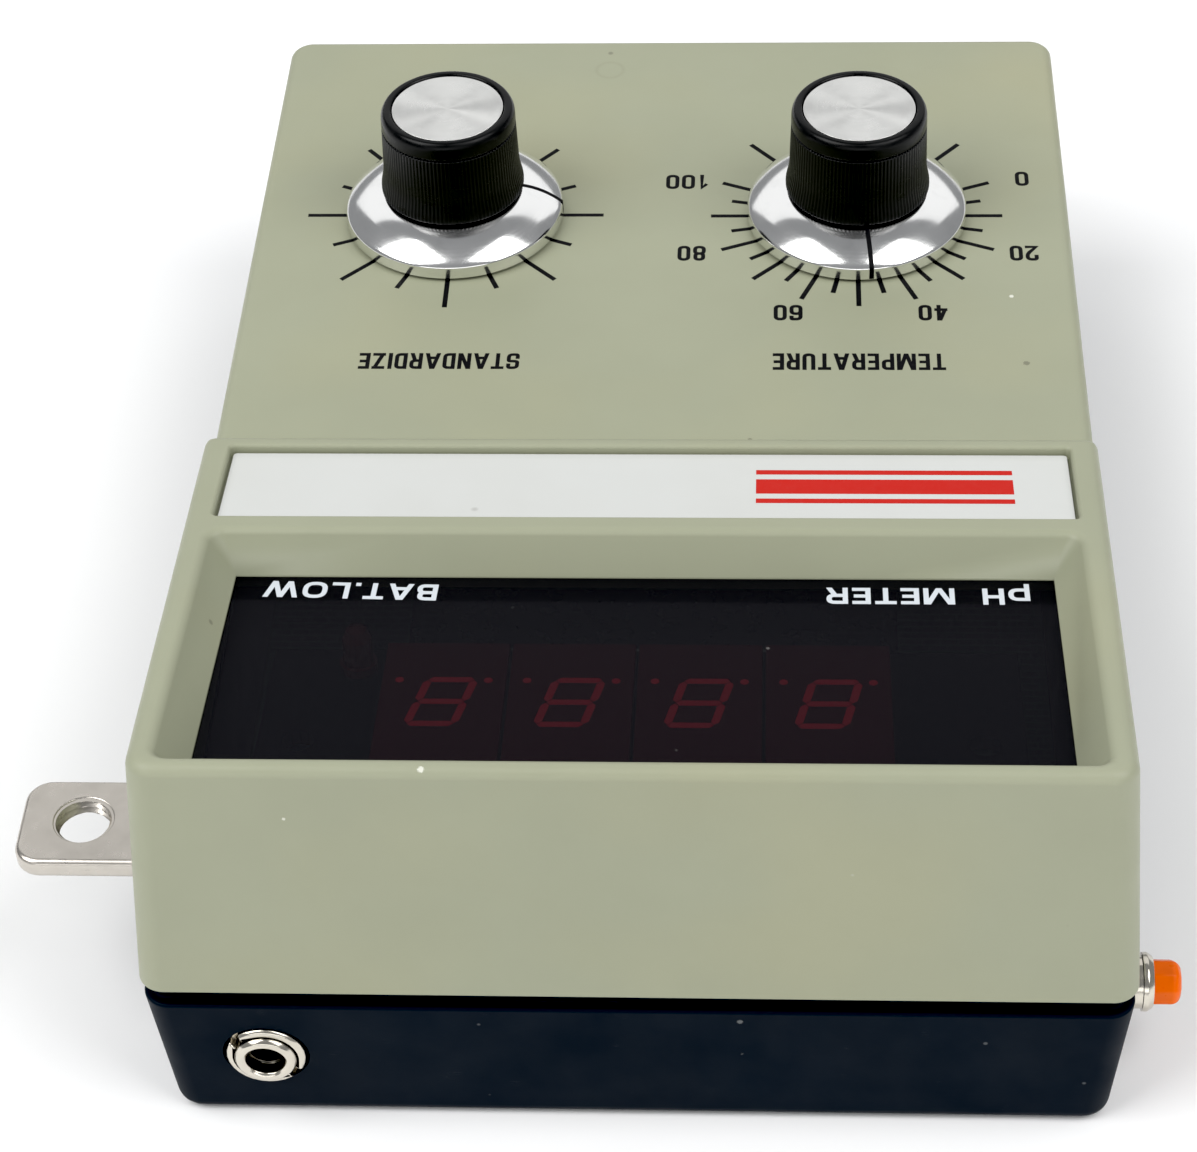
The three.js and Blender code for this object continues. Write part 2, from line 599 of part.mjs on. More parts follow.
function addSocket() {
  const { barrelR, bushingR } = SOCKET;
  const outer = -HALF_L - SOCKET.reach;
  const face = -HALF_L + 0.1;
  const place = (geometry) => alongY(geometry).translate(SOCKET.x, 0, SOCKET.z);
  const barrel = turnedRing([
    [3.4, face + 8.4], [bushingR, face + 8.4], [bushingR, face - 0.2], [6.6, face - 0.2],
    [6.6, face - 2], [barrelR, face - 2], [barrelR, outer + 0.3], [barrelR - 0.3, outer], [4.1, outer],
    [4.1, face + 1], [3.4, face + 1],
  ], 22);
  const lugs = [-90, 90].map((angle) => (
    rod(0.95, 4, 5.6, 12).rotateY(angle * DEG).translate(0, 0, outer + 3.6)
  ));
  add('electrode_socket_barrel', place(joined(barrel, ...lugs)), NICKEL);

  const nut = cut(hexagon(11.5, face + 3.7, face + 5.9), rod(bushingR + 0.1, -80, -50, 22));
  add('electrode_socket_nut', place(nut), NICKEL);

  const insulator = turnedRing([
    [0.9, face + 9.4], [3.3, face + 9.4], [3.3, face + 0.9], [2.3, face + 0.9], [2.3, outer + 1.4],
    [0.9, outer + 1.4],
  ], 24);
  add('electrode_socket_insulator', place(insulator), CREAM);

  const contact = turned([
    [0, outer + 5], [0.45, outer + 5], [0.45, outer + 1], [0.8, outer + 1], [0.8, face + 12],
    [0, face + 12],
  ], 12);
  add('electrode_socket_contact', place(contact), BRASS);
}

function addSupportTab() {
  const { innerX, outerX, y0, y1, z, thick, holeX, holeY } = TAB;
  const round = 2.6;
  const outline = new THREE.Shape();
  outline.moveTo(innerX, y0);
  outline.lineTo(outerX - round, y0);
  outline.absarc(outerX - round, y0 + round, round, -90 * DEG, 0);
  outline.absarc(outerX - round, y1 - round, round, 0, 90 * DEG);
  outline.lineTo(innerX, y1);
  outline.closePath();
  const bar = plate(outline, z, z + thick, 6);
  const hole = rod(TAB.holeR, z - OVER, z + thick + OVER, 32, holeX, holeY);
  const screwHoles = TAB.screwYs.map((y) => rod(1.4, z - OVER, z + thick + OVER, 14, TAB.screwX, y));
  add('support_tab', cut(bar, hole, ...screwHoles), STEEL);
  TAB.screwYs.forEach((y, i) => {
    const seat = z + thick + 0.1;
    const screw = turned([
      [0, 11], [1.2, 11.8], [1.2, seat], [2.3, seat], [2.3, seat + 1], [1.6, seat + 1.6],
      [0, seat + 1.6],
    ], 14);
    add(`support_tab_screw_${i + 1}`, screw.translate(TAB.screwX, y, 0), ZINC);
  });
}

function addBattery() {
  const [halfLength, halfWidth] = [BATTERY.length / 2, BATTERY.width / 2];
  const [y0, y1] = [BATTERY.y - halfWidth, BATTERY.y + halfWidth];
  const [z0, z1] = [BATTERY.z, BATTERY.z + BATTERY.height];
  const cellEnd = halfLength - 2.6;
  const can = plate(roundedOutline(z0, z1, y0, y1, 2), -halfLength, cellEnd, 3).rotateY(90 * DEG);
  const flipped = can.scale(1, 1, -1);
  const posts = [-6.4, 6.4].map((y) => (
    alongX(rod(2.9, cellEnd - 0.5, halfLength, 12)).translate(0, BATTERY.y + y, (z0 + z1) / 2)
  ));
  add('battery', joined(outwardFacing(flipped), ...posts), CELL_BLUE);

  const snap = block(halfLength + 0.2, halfLength + 3, y0 + 2, y1 - 2, z0 + 3, z1 - 3);
  add('battery_snap', snap, BLACK);
  const board = MAIN_BOARD.z + BOARD_THICK + 0.4;
  const leadStart = halfLength + 3.5;
  const leads = [['battery_lead_red', -44, 34.2, WIRE_RED], ['battery_lead_black', -48, 36.6, BLACK]];
  leads.forEach(([name, y, x, look]) => {
    const route = [
      [leadStart, y, 12], [x - 1, y + 3, 12.6], [x, -36, 13.4], [x - 1, -26, 12.6],
      [x - 2, -20, board + 0.6],
    ];
    add(name, wire(route, 0.7, 18), look);
  });

  const { halfX, z, thick, tongue } = DOOR;
  const panel = block(-halfX + tongue + GAP, halfX - tongue - GAP, DOOR.y0, DOOR.y1, z, z + thick + 0.2);
  const tongues = block(-halfX + 0.1, halfX - 0.1, DOOR.y0, DOOR.y1, 1.05, 1.7);
  const grips = [];
  for (let i = 0; i < 5; i += 1) {
    const y = DOOR.y0 + 4 + 1.8 * i;
    grips.push(block(-9, 9, y, y + 0.8, 0, z + 0.3));
  }
  add('battery_door', cut(joined(panel, tongues), ...grips), NAVY);
}

// Mirroring turns a surface inside out, so its triangles are wound the other way round
function outwardFacing(geometry) {
  const merged = welded(geometry);
  const index = merged.index.array;
  for (let i = 0; i < index.length; i += 3) {
    [index[i], index[i + 1]] = [index[i + 1], index[i]];
  }
  return merged;
}

function addElectronics() {
  const { halfX, y0, y1, z } = MAIN_BOARD;
  const top = z + BOARD_THICK;
  const board = block(-halfX, halfX, y0, y1, z, top);
  const clearances = CASE_SCREWS.slice(0, 2).map((place) => screwPost(place, 3.6, z - OVER, top + OVER));
  const mountHoles = boardCorners().map(([x, y]) => rod(1.3, z - OVER, top + OVER, 12, x, y));
  const edges = CASE_SCREWS.slice(0, 2).map((place) => {
    const [x0, x1] = [place.x, place.x * 1.1].sort((a, b) => a - b);
    return block(x0, x1, place.y - 3.6, place.y + 3.6, z - OVER, top + OVER);
  });
  add('main_board', cut(board, ...clearances, ...edges, ...mountHoles), BOARD_GREEN);

  add('converter_chip', block(-26, 26, 8, 21.5, top + 0.6, top + 4.6), BLACK);
  add('input_amplifier', block(-33, -23, -14, -7.6, top + 0.6, top + 4.2), BLACK);
  add('slope_trimmer', block(14, 23.5, -14, -4.5, top + 0.2, top + 5), TRIM_BLUE);
  const capacitor = turned([[0, 0], [4, 0], [4, 10.4], [3.4, 11], [0, 11]], 20);
  add('filter_capacitor', capacitor.translate(34, 28, top + 0.3), TRIM_BLUE);

  const ribbonRoute = [
    [0, 24, top + 0.5], [0, 27.2, top + 2.4], [0, 29.8, 16], [0, 30.2, 22], [0, 29.6, 26.2],
  ];
  const curve = new THREE.CatmullRomCurve3(ribbonRoute.map((p) => new THREE.Vector3(...p)));
  const section = new THREE.Shape();
  section.moveTo(-15, -0.4);
  section.lineTo(15, -0.4);
  section.lineTo(15, 0.4);
  section.lineTo(-15, 0.4);
  section.closePath();
  const options = { steps: 14, bevelEnabled: false, extrudePath: curve };
  add('display_ribbon', new THREE.ExtrudeGeometry(section, options), WIRE_GREY);

  const leadRoute = [
    [SOCKET.x, -55.4, SOCKET.z], [SOCKET.x, -50, SOCKET.z + 1], [-36, -42, 13], [-34, -30, 13.2],
    [-30, -20, top + 1.9],
  ];
  add('electrode_lead', wire(leadRoute, 1.1, 20), WIRE_GREY);
}

addCase();
addDisplay();
DIALS.forEach(addControl);
addButton();
addJack();
addSocket();
addSupportTab();
addBattery();
addElectronics();

export default instrument;
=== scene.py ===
"""Looks for a portable digital pH meter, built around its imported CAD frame.

Sizes are in millimetres and are turned into metres by MM. +X is the user's right, +Y points to
the display end, +Z is up, and the origin is the middle of the flat underside.
"""

import json
import math

import bmesh
import bpy
from mathutils import Matrix, Vector


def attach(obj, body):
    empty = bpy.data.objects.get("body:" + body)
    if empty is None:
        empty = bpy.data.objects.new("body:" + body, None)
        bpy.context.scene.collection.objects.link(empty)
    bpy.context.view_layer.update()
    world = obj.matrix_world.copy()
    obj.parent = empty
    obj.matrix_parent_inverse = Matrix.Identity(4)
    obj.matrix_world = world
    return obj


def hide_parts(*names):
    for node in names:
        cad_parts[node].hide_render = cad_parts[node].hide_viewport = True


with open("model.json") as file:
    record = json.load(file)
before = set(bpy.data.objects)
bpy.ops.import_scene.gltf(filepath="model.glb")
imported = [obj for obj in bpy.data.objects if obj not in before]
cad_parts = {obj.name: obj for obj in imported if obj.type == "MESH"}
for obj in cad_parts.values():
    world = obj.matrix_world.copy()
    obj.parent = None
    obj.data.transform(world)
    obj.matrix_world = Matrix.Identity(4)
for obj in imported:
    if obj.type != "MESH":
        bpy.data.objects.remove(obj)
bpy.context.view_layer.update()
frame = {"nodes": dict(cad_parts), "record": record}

# ---------------------------------------------------------------- sizes shared with the frame

MM = 0.001
PANEL_Z = 34.5
SEAM_Z = 19.4
HALF_W = 46.9
HALF_L = 68.9

# The sloping display face has its own frame: x across, s up the slope, n out of the face
BEZEL = {"y": 12.13, "z": 39.83, "tilt": math.radians(8.5)}
BEZEL_FRAME = Matrix.Translation(Vector((0, BEZEL["y"], BEZEL["z"]))) @ Matrix.Rotation(BEZEL["tilt"], 4, "X")
RIM = {"half_x": 42.6, "s0": 17.4, "s1": 53.7}
LABEL = {"half_x": 42.5, "s0": 2.05, "s1": 14.9, "top": -0.8}
WINDOW_TOP = -4.4
DIGIT = {"pitch": 12.2, "x": 0.3, "s": 34.7, "face": -8.0, "height": 7.7, "width": 4.6, "slant": 12}

DIALS = {"standardize": (23.3, -32.3, -90), "temperature": (-22.0, -32.1, -6.75)}
JACK = Vector((35.6, 0, 9.7))
BUTTON = Vector((0, 58, 9.6))
SOCKET = Vector((-36, 0, 10.5))
TAB_HOLE = Vector((54.6, 49.3, 20.8))

ALONG_X = Matrix.Rotation(math.radians(90), 4, "Y")
ALONG_Y = Matrix.Rotation(math.radians(-90), 4, "X")

SMOOTH_ANGLE = math.radians(35)

# ---------------------------------------------------------------- materials


class Look:
    """A procedural material that is built up on one Principled shader."""

    def __init__(self, name, color, roughness, metallic=0.0, **sockets):
        self.material = bpy.data.materials.new(name)
        self.material.use_nodes = True
        self.tree = self.material.node_tree
        self.shader = self.tree.nodes["Principled BSDF"]
        self.color = (*color, 1)
        self.shader.inputs["Base Color"].default_value = self.color
        self.shader.inputs["Roughness"].default_value = roughness
        self.shader.inputs["Metallic"].default_value = metallic
        for socket, value in sockets.items():
            self.shader.inputs[socket.replace("_", " ")].default_value = value
        self.place = self.node("ShaderNodeTexCoord").outputs["Object"]

    def node(self, kind, inputs=None, **settings):
        made = self.tree.nodes.new(kind)
        for key, value in settings.items():
            setattr(made, key, value)
        for key, value in (inputs or {}).items():
            if isinstance(value, bpy.types.NodeSocket):
                self.tree.links.new(value, made.inputs[key])
            else:
                made.inputs[key].default_value = value
        return made

    def stretched(self, scale, turn=(0, 0, 0)):
        """The place with each axis scaled, so that a texture's grain runs along one of them."""
        mapping = self.node("ShaderNodeMapping", {"Vector": self.place, "Scale": scale, "Rotation": turn})
        return mapping.outputs["Vector"]

    def noise(self, scale, detail=3.0, roughness=0.55, place=None):
        inputs = {"Vector": place or self.place, "Scale": scale, "Detail": detail, "Roughness": roughness}
        return self.node("ShaderNodeTexNoise", inputs).outputs["Fac"]

    def specks(self, scale, size, share):
        """Sparse round spots: 1 inside a spot, 0 outside. share is the part of the cells with one."""
        cells = self.node("ShaderNodeTexVoronoi", {"Vector": self.place, "Scale": scale, "Randomness": 1.0})
        spot = self.ramp(cells.outputs["Distance"], size * 1.25, size * 0.75)
        pick = self.node("ShaderNodeSeparateColor", {"Color": cells.outputs["Color"]})
        chosen = self.math("LESS_THAN", pick.outputs["Red"], share)
        return self.math("MULTIPLY", spot, chosen)

    def scratches(self, scale, turn, width, share, stretch=22.0):
        """Fine lines along one direction of the surface, broken up into short lengths."""
        long_way = self.stretched((1.0, stretch, stretch), turn)
        lines = self.noise(scale, 0.0, 0.0, long_way)
        line = self.ramp(self.math("ABSOLUTE", self.math("SUBTRACT", lines, 0.5)), width, 0.0)
        pieces = self.ramp(self.noise(scale * 0.9, 1.0), 1 - share, 1 - share * 0.8)
        return self.math("MULTIPLY", line, pieces)

    def math(self, operation, a, b=None):
        inputs = {0: a} if b is None else {0: a, 1: b}
        return self.node("ShaderNodeMath", inputs, operation=operation).outputs[0]

    def ramp(self, value, low, high, to_low=0.0, to_high=1.0):
        inputs = {"Value": value, "From Min": low, "From Max": high, "To Min": to_low, "To Max": to_high}
        return self.node("ShaderNodeMapRange", inputs, clamp=True).outputs["Result"]

    def tint(self, factor, color):
        """Lays a colour over the base colour where factor is 1."""
        under = self.shader.inputs["Base Color"]
        inputs = {"Factor": factor, 7: (*color, 1)}
        mix = self.node("ShaderNodeMix", inputs, data_type="RGBA")
        if under.links:
            self.tree.links.new(under.links[0].from_socket, mix.inputs[6])
        else:
            mix.inputs[6].default_value = self.color
        self.tree.links.new(mix.outputs[2], under)

    def vary_roughness(self, value, low, high):
        self.tree.links.new(self.ramp(value, 0.3, 0.7, low, high), self.shader.inputs["Roughness"])

    def bump(self, height, depth, strength=1.0):
        """Adds relief of a depth in millimetres, on top of any that is there already."""
        normal = self.shader.inputs["Normal"]
        inputs = {"Height": height, "Distance": depth * MM, "Strength": strength}
        if normal.links:
            inputs["Normal"] = normal.links[0].from_socket
        made = self.node("ShaderNodeBump", inputs)
        self.tree.links.new(made.outputs["Normal"], normal)


def spot(look, centre, radius, ragged=0.35):
    """A single mark at one place: 1 inside, 0 outside, with a ragged edge."""
    place = tuple(MM * c for c in centre)
    away = look.node("ShaderNodeVectorMath", {0: look.place, 1: place}, operation="DISTANCE").outputs["Value"]
    rough = look.ramp(look.noise(2600 / max(radius, 0.2), 2.0), 0.2, 0.8, -ragged, ragged)
    reach = look.math("ADD", look.math("DIVIDE", away, radius * MM), rough)
    return look.ramp(reach, 1.12, 0.88)


def moulded(look, grain=0.006, mottle=0.05):
    """Common to moulded plastic: fine grain, slow colour drift and uneven gloss."""
    look.bump(look.noise(5200, 2.0), grain, 0.6)
    look.bump(look.noise(900, 2.0), grain * 2.2, 0.35)
    drift = look.ramp(look.noise(70, 3.0), 0.35, 0.7)
    darker = tuple(c * (1 - mottle * 2) for c in look.color[:3])
    look.tint(look.math("MULTIPLY", drift, 0.5), darker)


# Single marks, each a centre and a radius
CASE_STAINS = (
    ((-39.6, -6.0, PANEL_Z), 0.34),
    ((-10.3, 6.6, PANEL_Z), 0.26),
    ((-6.8, 67.6, 46.3), 0.3),
    ((-6.8, 67.6, 45.1), 0.24),
)
CASE_CHIPS = (((-38.6, -17.5, PANEL_Z), 0.24), ((18.2, 66.7, 47.9), 0.34), ((30.8, 67.6, 42.1), 0.2))
BASE_SCUFFS = (((-9.8, 68.5, 15.9), 0.32), ((-10.0, 68.6, 10.7), 0.25), ((-18.9, 68.4, 18.9), 0.4))
GATE_MARK = (6.9, -61.2, PANEL_Z)


def sage_case():
    look = Look("sage_case", (0.315, 0.328, 0.232), 0.46, Specular_IOR_Level=0.35)
    moulded(look, 0.005, 0.035)
    look.tint(look.ramp(look.noise(28, 2.0), 0.48, 0.75, 0, 0.35), (0.37, 0.355, 0.215))
    look.tint(look.math("MULTIPLY", look.specks(150, 0.05, 0.10), 0.55), (0.12, 0.115, 0.085))
    look.tint(look.math("MULTIPLY", look.specks(95, 0.03, 0.12), 0.6), (0.62, 0.62, 0.55))
    for centre, radius in CASE_STAINS:
        look.tint(look.math("MULTIPLY", spot(look, centre, radius), 0.55), (0.09, 0.085, 0.06))
    for centre, radius in CASE_CHIPS:
        look.tint(look.math("MULTIPLY", spot(look, centre, radius), 0.8), (0.72, 0.72, 0.64))
    ring = look.math("SUBTRACT", spot(look, GATE_MARK, 1.75, 0.03), spot(look, GATE_MARK, 1.45, 0.03))
    look.tint(look.math("MULTIPLY", ring, 0.22), (0.20, 0.205, 0.14))
    look.vary_roughness(look.noise(160, 3.0), 0.40, 0.52)
    return look


def navy_base():
    look = Look("navy_base", (0.0012, 0.0052, 0.0115), 0.5, Specular_IOR_Level=0.07)
    moulded(look, 0.006, 0.1)
    fine = look.scratches(420, (0.2, 0.1, 0.5), 0.012, 0.30)
    look.tint(look.math("MULTIPLY", fine, 0.35), (0.10, 0.11, 0.12))
    coarse = look.scratches(300, (0.9, 0.4, -0.7), 0.010, 0.22)
    look.tint(look.math("MULTIPLY", coarse, 0.3), (0.12, 0.12, 0.13))
    look.tint(look.math("MULTIPLY", look.specks(210, 0.045, 0.16), 0.5), (0.16, 0.17, 0.18))
    for centre, radius in BASE_SCUFFS:
        look.tint(look.math("MULTIPLY", spot(look, centre, radius), 0.5), (0.24, 0.25, 0.25))
    look.vary_roughness(look.noise(130, 4.0), 0.42, 0.60)
    return look


def label_film():
    look = Look("label_film", (0.565, 0.575, 0.555), 0.34, Specular_IOR_Level=0.5)
    look.bump(look.noise(1500, 2.0), 0.004, 0.5)
    look.tint(look.ramp(look.noise(45, 3.0), 0.45, 0.8, 0, 0.35), (0.50, 0.50, 0.465))
    look.tint(look.math("MULTIPLY", look.specks(120, 0.06, 0.10), 0.5), (0.22, 0.21, 0.19))
    look.vary_roughness(look.noise(260, 3.0), 0.28, 0.42)
    return look


def red_filter():
    look = Look("red_filter", (0.0125, 0.0125, 0.0150), 0.06, Alpha=0.58, Specular_IOR_Level=0.05)
    look.bump(look.noise(60, 2.0), 0.02, 0.15)
    marks = look.scratches(260, (0, 0, 0.6), 0.008, 0.25)
    look.tint(look.math("MULTIPLY", look.specks(240, 0.045, 0.07), 0.5), (0.30, 0.30, 0.29))
    look.vary_roughness(look.math("ADD", look.noise(350, 4.0), marks), 0.02, 0.10)
    return look


def smoked_ground():
    look = Look("smoked_ground", (0.004, 0.004, 0.004), 0.6, Specular_IOR_Level=0.1)
    look.vary_roughness(look.noise(300), 0.5, 0.7)
    return look


def led_module():
    look = Look("led_module", (0.105, 0.001, 0.008), 0.42, Specular_IOR_Level=0.05)
    moulded(look, 0.004, 0.06)
    look.vary_roughness(look.noise(400), 0.32, 0.46)
    return look


def led_segment():
    look = Look("led_segment", (1.0, 0.030, 0.075), 0.4, Specular_IOR_Level=0.1)
    look.tint(look.ramp(look.noise(1800, 2.0), 0.4, 0.7, 0, 0.4), (0.75, 0.02, 0.05))
    look.vary_roughness(look.noise(900), 0.3, 0.45)
    return look


def black_plastic():
    look = Look("black_plastic", (0.0025, 0.0028, 0.0030), 0.30, Specular_IOR_Level=0.2)
    look.bump(look.noise(3800, 2.0), 0.005, 0.4)
    look.tint(look.math("MULTIPLY", look.specks(320, 0.05, 0.10), 0.5), (0.10, 0.10, 0.09))
    look.vary_roughness(look.noise(500, 3.0), 0.22, 0.40)
    return look


def print_ink(name, color):
    look = Look(name, color, 0.5, Specular_IOR_Level=0.1)
    look.bump(look.noise(6000, 2.0), 0.004, 0.5)
    look.tint(look.ramp(look.noise(2400, 3.0), 0.55, 0.8, 0, 0.25), tuple(0.8 * c + 0.03 for c in color))
    look.vary_roughness(look.noise(900), 0.42, 0.6)
    return look


def plated(name, color, roughness, fine=0.002):
    """Plated or polished metal with faint pits, smears and uneven gloss."""
    look = Look(name, color, roughness, 1.0)
    look.bump(look.noise(2600, 3.0), fine, 0.5)
    look.tint(look.ramp(look.noise(240, 3.0), 0.5, 0.8, 0, 0.5), tuple(0.72 * c for c in color))
    look.tint(look.math("MULTIPLY", look.specks(700, 0.06, 0.12), 0.6), tuple(0.35 * c for c in color))
    look.vary_roughness(look.noise(420, 4.0), roughness * 0.75, roughness * 1.35)
    return look


def plated_steel():
    look = plated("plated_steel", (0.56, 0.525, 0.475), 0.30)
    for turn, width in (((0, 0, 1.48), 0.02), ((0, 0, 1.62), 0.015)):
        marks = look.scratches(330, turn, width, 0.35, 18.0)
        look.tint(look.math("MULTIPLY", marks, 0.6), (0.16, 0.14, 0.13))
    return look


def spun(name, color, roughness, rings, anisotropic):
    """Turned or spun metal: concentric grooves round the piece's own axis."""
    look = Look(name, color, roughness, 1.0, Anisotropic=anisotropic)
    split = look.node("ShaderNodeSeparateXYZ", {0: look.place})
    flat = look.node("ShaderNodeCombineXYZ", {0: split.outputs[0], 1: split.outputs[1]})
    out = look.node("ShaderNodeVectorMath", {0: flat.outputs[0]}, operation="LENGTH").outputs["Value"]
    line = look.node("ShaderNodeCombineXYZ", {0: out})
    grooves = look.noise(rings, 3.0, 0.7, line.outputs[0])
    look.bump(grooves, 0.0025, 0.5)
    look.tint(look.ramp(look.noise(420, 3.0), 0.52, 0.8, 0, 0.35), tuple(0.78 * c for c in color))
    look.vary_roughness(look.math("ADD", grooves, look.math("SUBTRACT", look.noise(300, 3.0), 0.5)),
                        roughness * 0.8, roughness * 1.25)
    tangent = look.node("ShaderNodeTangent", direction_type="RADIAL", axis="Z")
    look.tree.links.new(tangent.outputs["Tangent"], look.shader.inputs["Tangent"])
    return look


def circuit_board():
    look = Look("circuit_board", (0.022, 0.105, 0.045), 0.36)
    tracks = look.node("ShaderNodeTexBrick", {"Vector": look.place, "Scale": 260.0, "Mortar Size": 0.03})
    tracks.offset = 0.37
    look.tint(look.ramp(tracks.outputs["Fac"], 0.2, 0.8, 0, 0.6), (0.05, 0.20, 0.09))
    look.bump(tracks.outputs["Fac"], 0.03, 0.6)
    look.vary_roughness(look.noise(400), 0.3, 0.45)
    return look


def orange_cap():
    look = Look("orange_cap", (0.86, 0.135, 0.001), 0.33, Specular_IOR_Level=0.18)
    look.bump(look.noise(3200, 2.0), 0.006, 0.5)
    look.tint(look.ramp(look.noise(500, 3.0), 0.5, 0.8, 0, 0.4), (0.74, 0.105, 0.001))
    look.vary_roughness(look.noise(700, 3.0), 0.26, 0.42)
    return look


def plain_moulding(name, color, roughness):
    look = Look(name, color, roughness)
    moulded(look, 0.006, 0.06)
    look.vary_roughness(look.noise(500, 3.0), roughness * 0.85, roughness * 1.2)
    return look


def table_top():
    look = Look("table_top", (0.93, 0.93, 0.93), 0.8)
    look.tint(look.ramp(look.noise(3.0, 2.0), 0.4, 0.7, 0, 0.4), (0.915, 0.92, 0.925))
    look.vary_roughness(look.noise(40), 0.7, 0.8)
    return look


LOOKS = {
    "sage_case": sage_case(),
    "navy_base": navy_base(),
    "label_film": label_film(),
    "red_filter": red_filter(),
    "led_module": led_module(),
    "black_plastic": black_plastic(),
    "nickel": plated("nickel", (0.66, 0.62, 0.54), 0.17),
    "spun_aluminium": spun("spun_aluminium", (0.86, 0.86, 0.85), 0.13, 5200, 0.35),
    "plated_steel": plated_steel(),
    "zinc_plate": plated("zinc_plate", (0.55, 0.55, 0.50), 0.35, 0.004),
    "brass": plated("brass", (0.62, 0.45, 0.17), 0.25),
    "circuit_board": circuit_board(),
    "orange_cap": orange_cap(),
    "clear_red": plain_moulding("clear_red", (0.14, 0.006, 0.008), 0.25),
    "cream_plastic": plain_moulding("cream_plastic", (0.72, 0.68, 0.55), 0.45),
    "battery_wrap": plain_moulding("battery_wrap", (0.03, 0.08, 0.20), 0.30),
    "trim_blue": plain_moulding("trim_blue", (0.03, 0.12, 0.38), 0.35),
    "wire_red": plain_moulding("wire_red", (0.45, 0.015, 0.015), 0.45),
    "wire_grey": plain_moulding("wire_grey", (0.18, 0.18, 0.185), 0.5),
}
INLAY = spun("spun_inlay", (0.70, 0.70, 0.68), 0.34, 4200, 0.85)
BLACK_INK = print_ink("black_ink", (0.006, 0.006, 0.007))
WHITE_INK = print_ink("white_ink", (0.60, 0.64, 0.68))
RED_INK = print_ink("red_ink", (0.50, 0.022, 0.016))
SEGMENT = led_segment()
SMOKED = smoked_ground()

SLOT_OF = {row["node"]: row["material_slot"] for row in frame["record"]["subparts"]}
OWN_LOOK = {"display_board": SMOKED}

for name, node in frame["nodes"].items():
    if not node.material_slots:
        node.data.materials.append(None)
    for entry in node.material_slots:
        entry.link = "OBJECT"
        entry.material = OWN_LOOK.get(name, LOOKS[SLOT_OF[name]]).material


# ---------------------------------------------------------------- pieces


def piece(name, mesh, body, slot, replaces=(), look=None):
    """Makes an object of a mesh, sets it on its body, and hides the CAD nodes that it replaces."""
    made = bpy.data.objects.new(name, mesh)
    bpy.context.scene.collection.objects.link(made)
    mesh.materials.clear()
    mesh.materials.append((look or LOOKS[slot]).material)
    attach(made, body)
    if replaces:
        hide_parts(*replaces)
    return made


def smooth(mesh, angle=SMOOTH_ANGLE):
    mesh.shade_smooth()
    mesh.set_sharp_from_angle(angle=angle)


def mesh_from(name, points, faces, angle=SMOOTH_ANGLE):
    mesh = bpy.data.meshes.new(name)
    mesh.from_pydata([Vector(p) * MM for p in points], [], faces)
    mesh.validate()
    smooth(mesh, angle)
    return mesh


def joined(name, meshes):
    """One mesh made of several, each a list of points and faces."""
    points, faces = [], []
    for more_points, more_faces in meshes:
        start = len(points)
        points.extend(more_points)
        faces.extend([tuple(start + i for i in face) for face in more_faces])
    return mesh_from(name, points, faces)


def join_slivers(source, thin=0.06):
    """Joins each sliver of a face, less than thin mm wide, to its neighbour on the longest edge."""
    for _ in range(6):
        edges = {}
        for face in source.faces:
            longest = max(face.edges, key=lambda edge: edge.calc_length())
            narrow = face.calc_area() < thin / 2 * MM * longest.calc_length()
            if narrow and len(longest.link_faces) == 2 and longest.calc_face_angle(0) < SMOOTH_ANGLE:
                edges[longest] = True
        if not edges:
            break
        bmesh.ops.dissolve_edges(source, edges=list(edges), use_verts=True, use_face_split=False)


def softened(node, body, radius_of, width, segments=4, cuts=()):
    """A copy of a CAD node with its edges rounded. radius_of gives the share of width for an edge.

    The cuts are planes, each an axis and a distance in mm. They pass through the holes in the flat
    faces, so that no face goes all the way round a hole and each can be rounded cleanly.
    """
    source = bmesh.new()
    source.from_mesh(frame["nodes"][node].data)
    bmesh.ops.remove_doubles(source, verts=source.verts, dist=2e-6)
    if cuts:
        bmesh.ops.dissolve_limit(source, angle_limit=0.006, verts=source.verts, edges=source.edges)
        join_slivers(source)
    for axis, distance in cuts:
        normal = Vector((0, 0, 0))
        normal[axis] = 1
        geometry = source.verts[:] + source.edges[:] + source.faces[:]
        cut = bmesh.ops.bisect_plane(source, geom=geometry, plane_co=normal * distance * MM, plane_no=normal)
        for element in cut["geom_cut"]:
            if isinstance(element, bmesh.types.BMEdge):
                element.seam = True
    bmesh.ops.dissolve_limit(
        source, angle_limit=0.006, verts=source.verts, edges=source.edges, delimit={"SEAM"}
    )
    bmesh.ops.dissolve_degenerate(source, dist=2e-6, edges=source.edges)
    weight = source.edges.layers.float.new("bevel_weight_edge")
    for edge in source.edges:
        if len(edge.link_faces) == 2 and edge.calc_face_angle(0) > SMOOTH_ANGLE:
            middle = (edge.verts[0].co + edge.verts[1].co) / 2 / MM
            edge[weight] = radius_of(middle, edge)
    mesh = bpy.data.meshes.new(node + "_form")
    source.to_mesh(mesh)
    source.free()
    for attribute in ("custom_normal", "sharp_edge", "sharp_face"):
        if attribute in mesh.attributes:
            mesh.attributes.remove(mesh.attributes[attribute])
    made = piece(node + "_form", mesh, body, SLOT_OF[node], (node,))
    rounding = made.modifiers.new("rounded_edges", "BEVEL")
    rounding.limit_method = "WEIGHT"
    rounding.width = width * MM
    rounding.segments = segments
    rounding.use_clamp_overlap = False
    applied(made)
    smooth(made.data, math.radians(28))
    even = made.modifiers.new("even_normals", "WEIGHTED_NORMAL")
    even.keep_sharp = True
    even.weight = 80
    return made


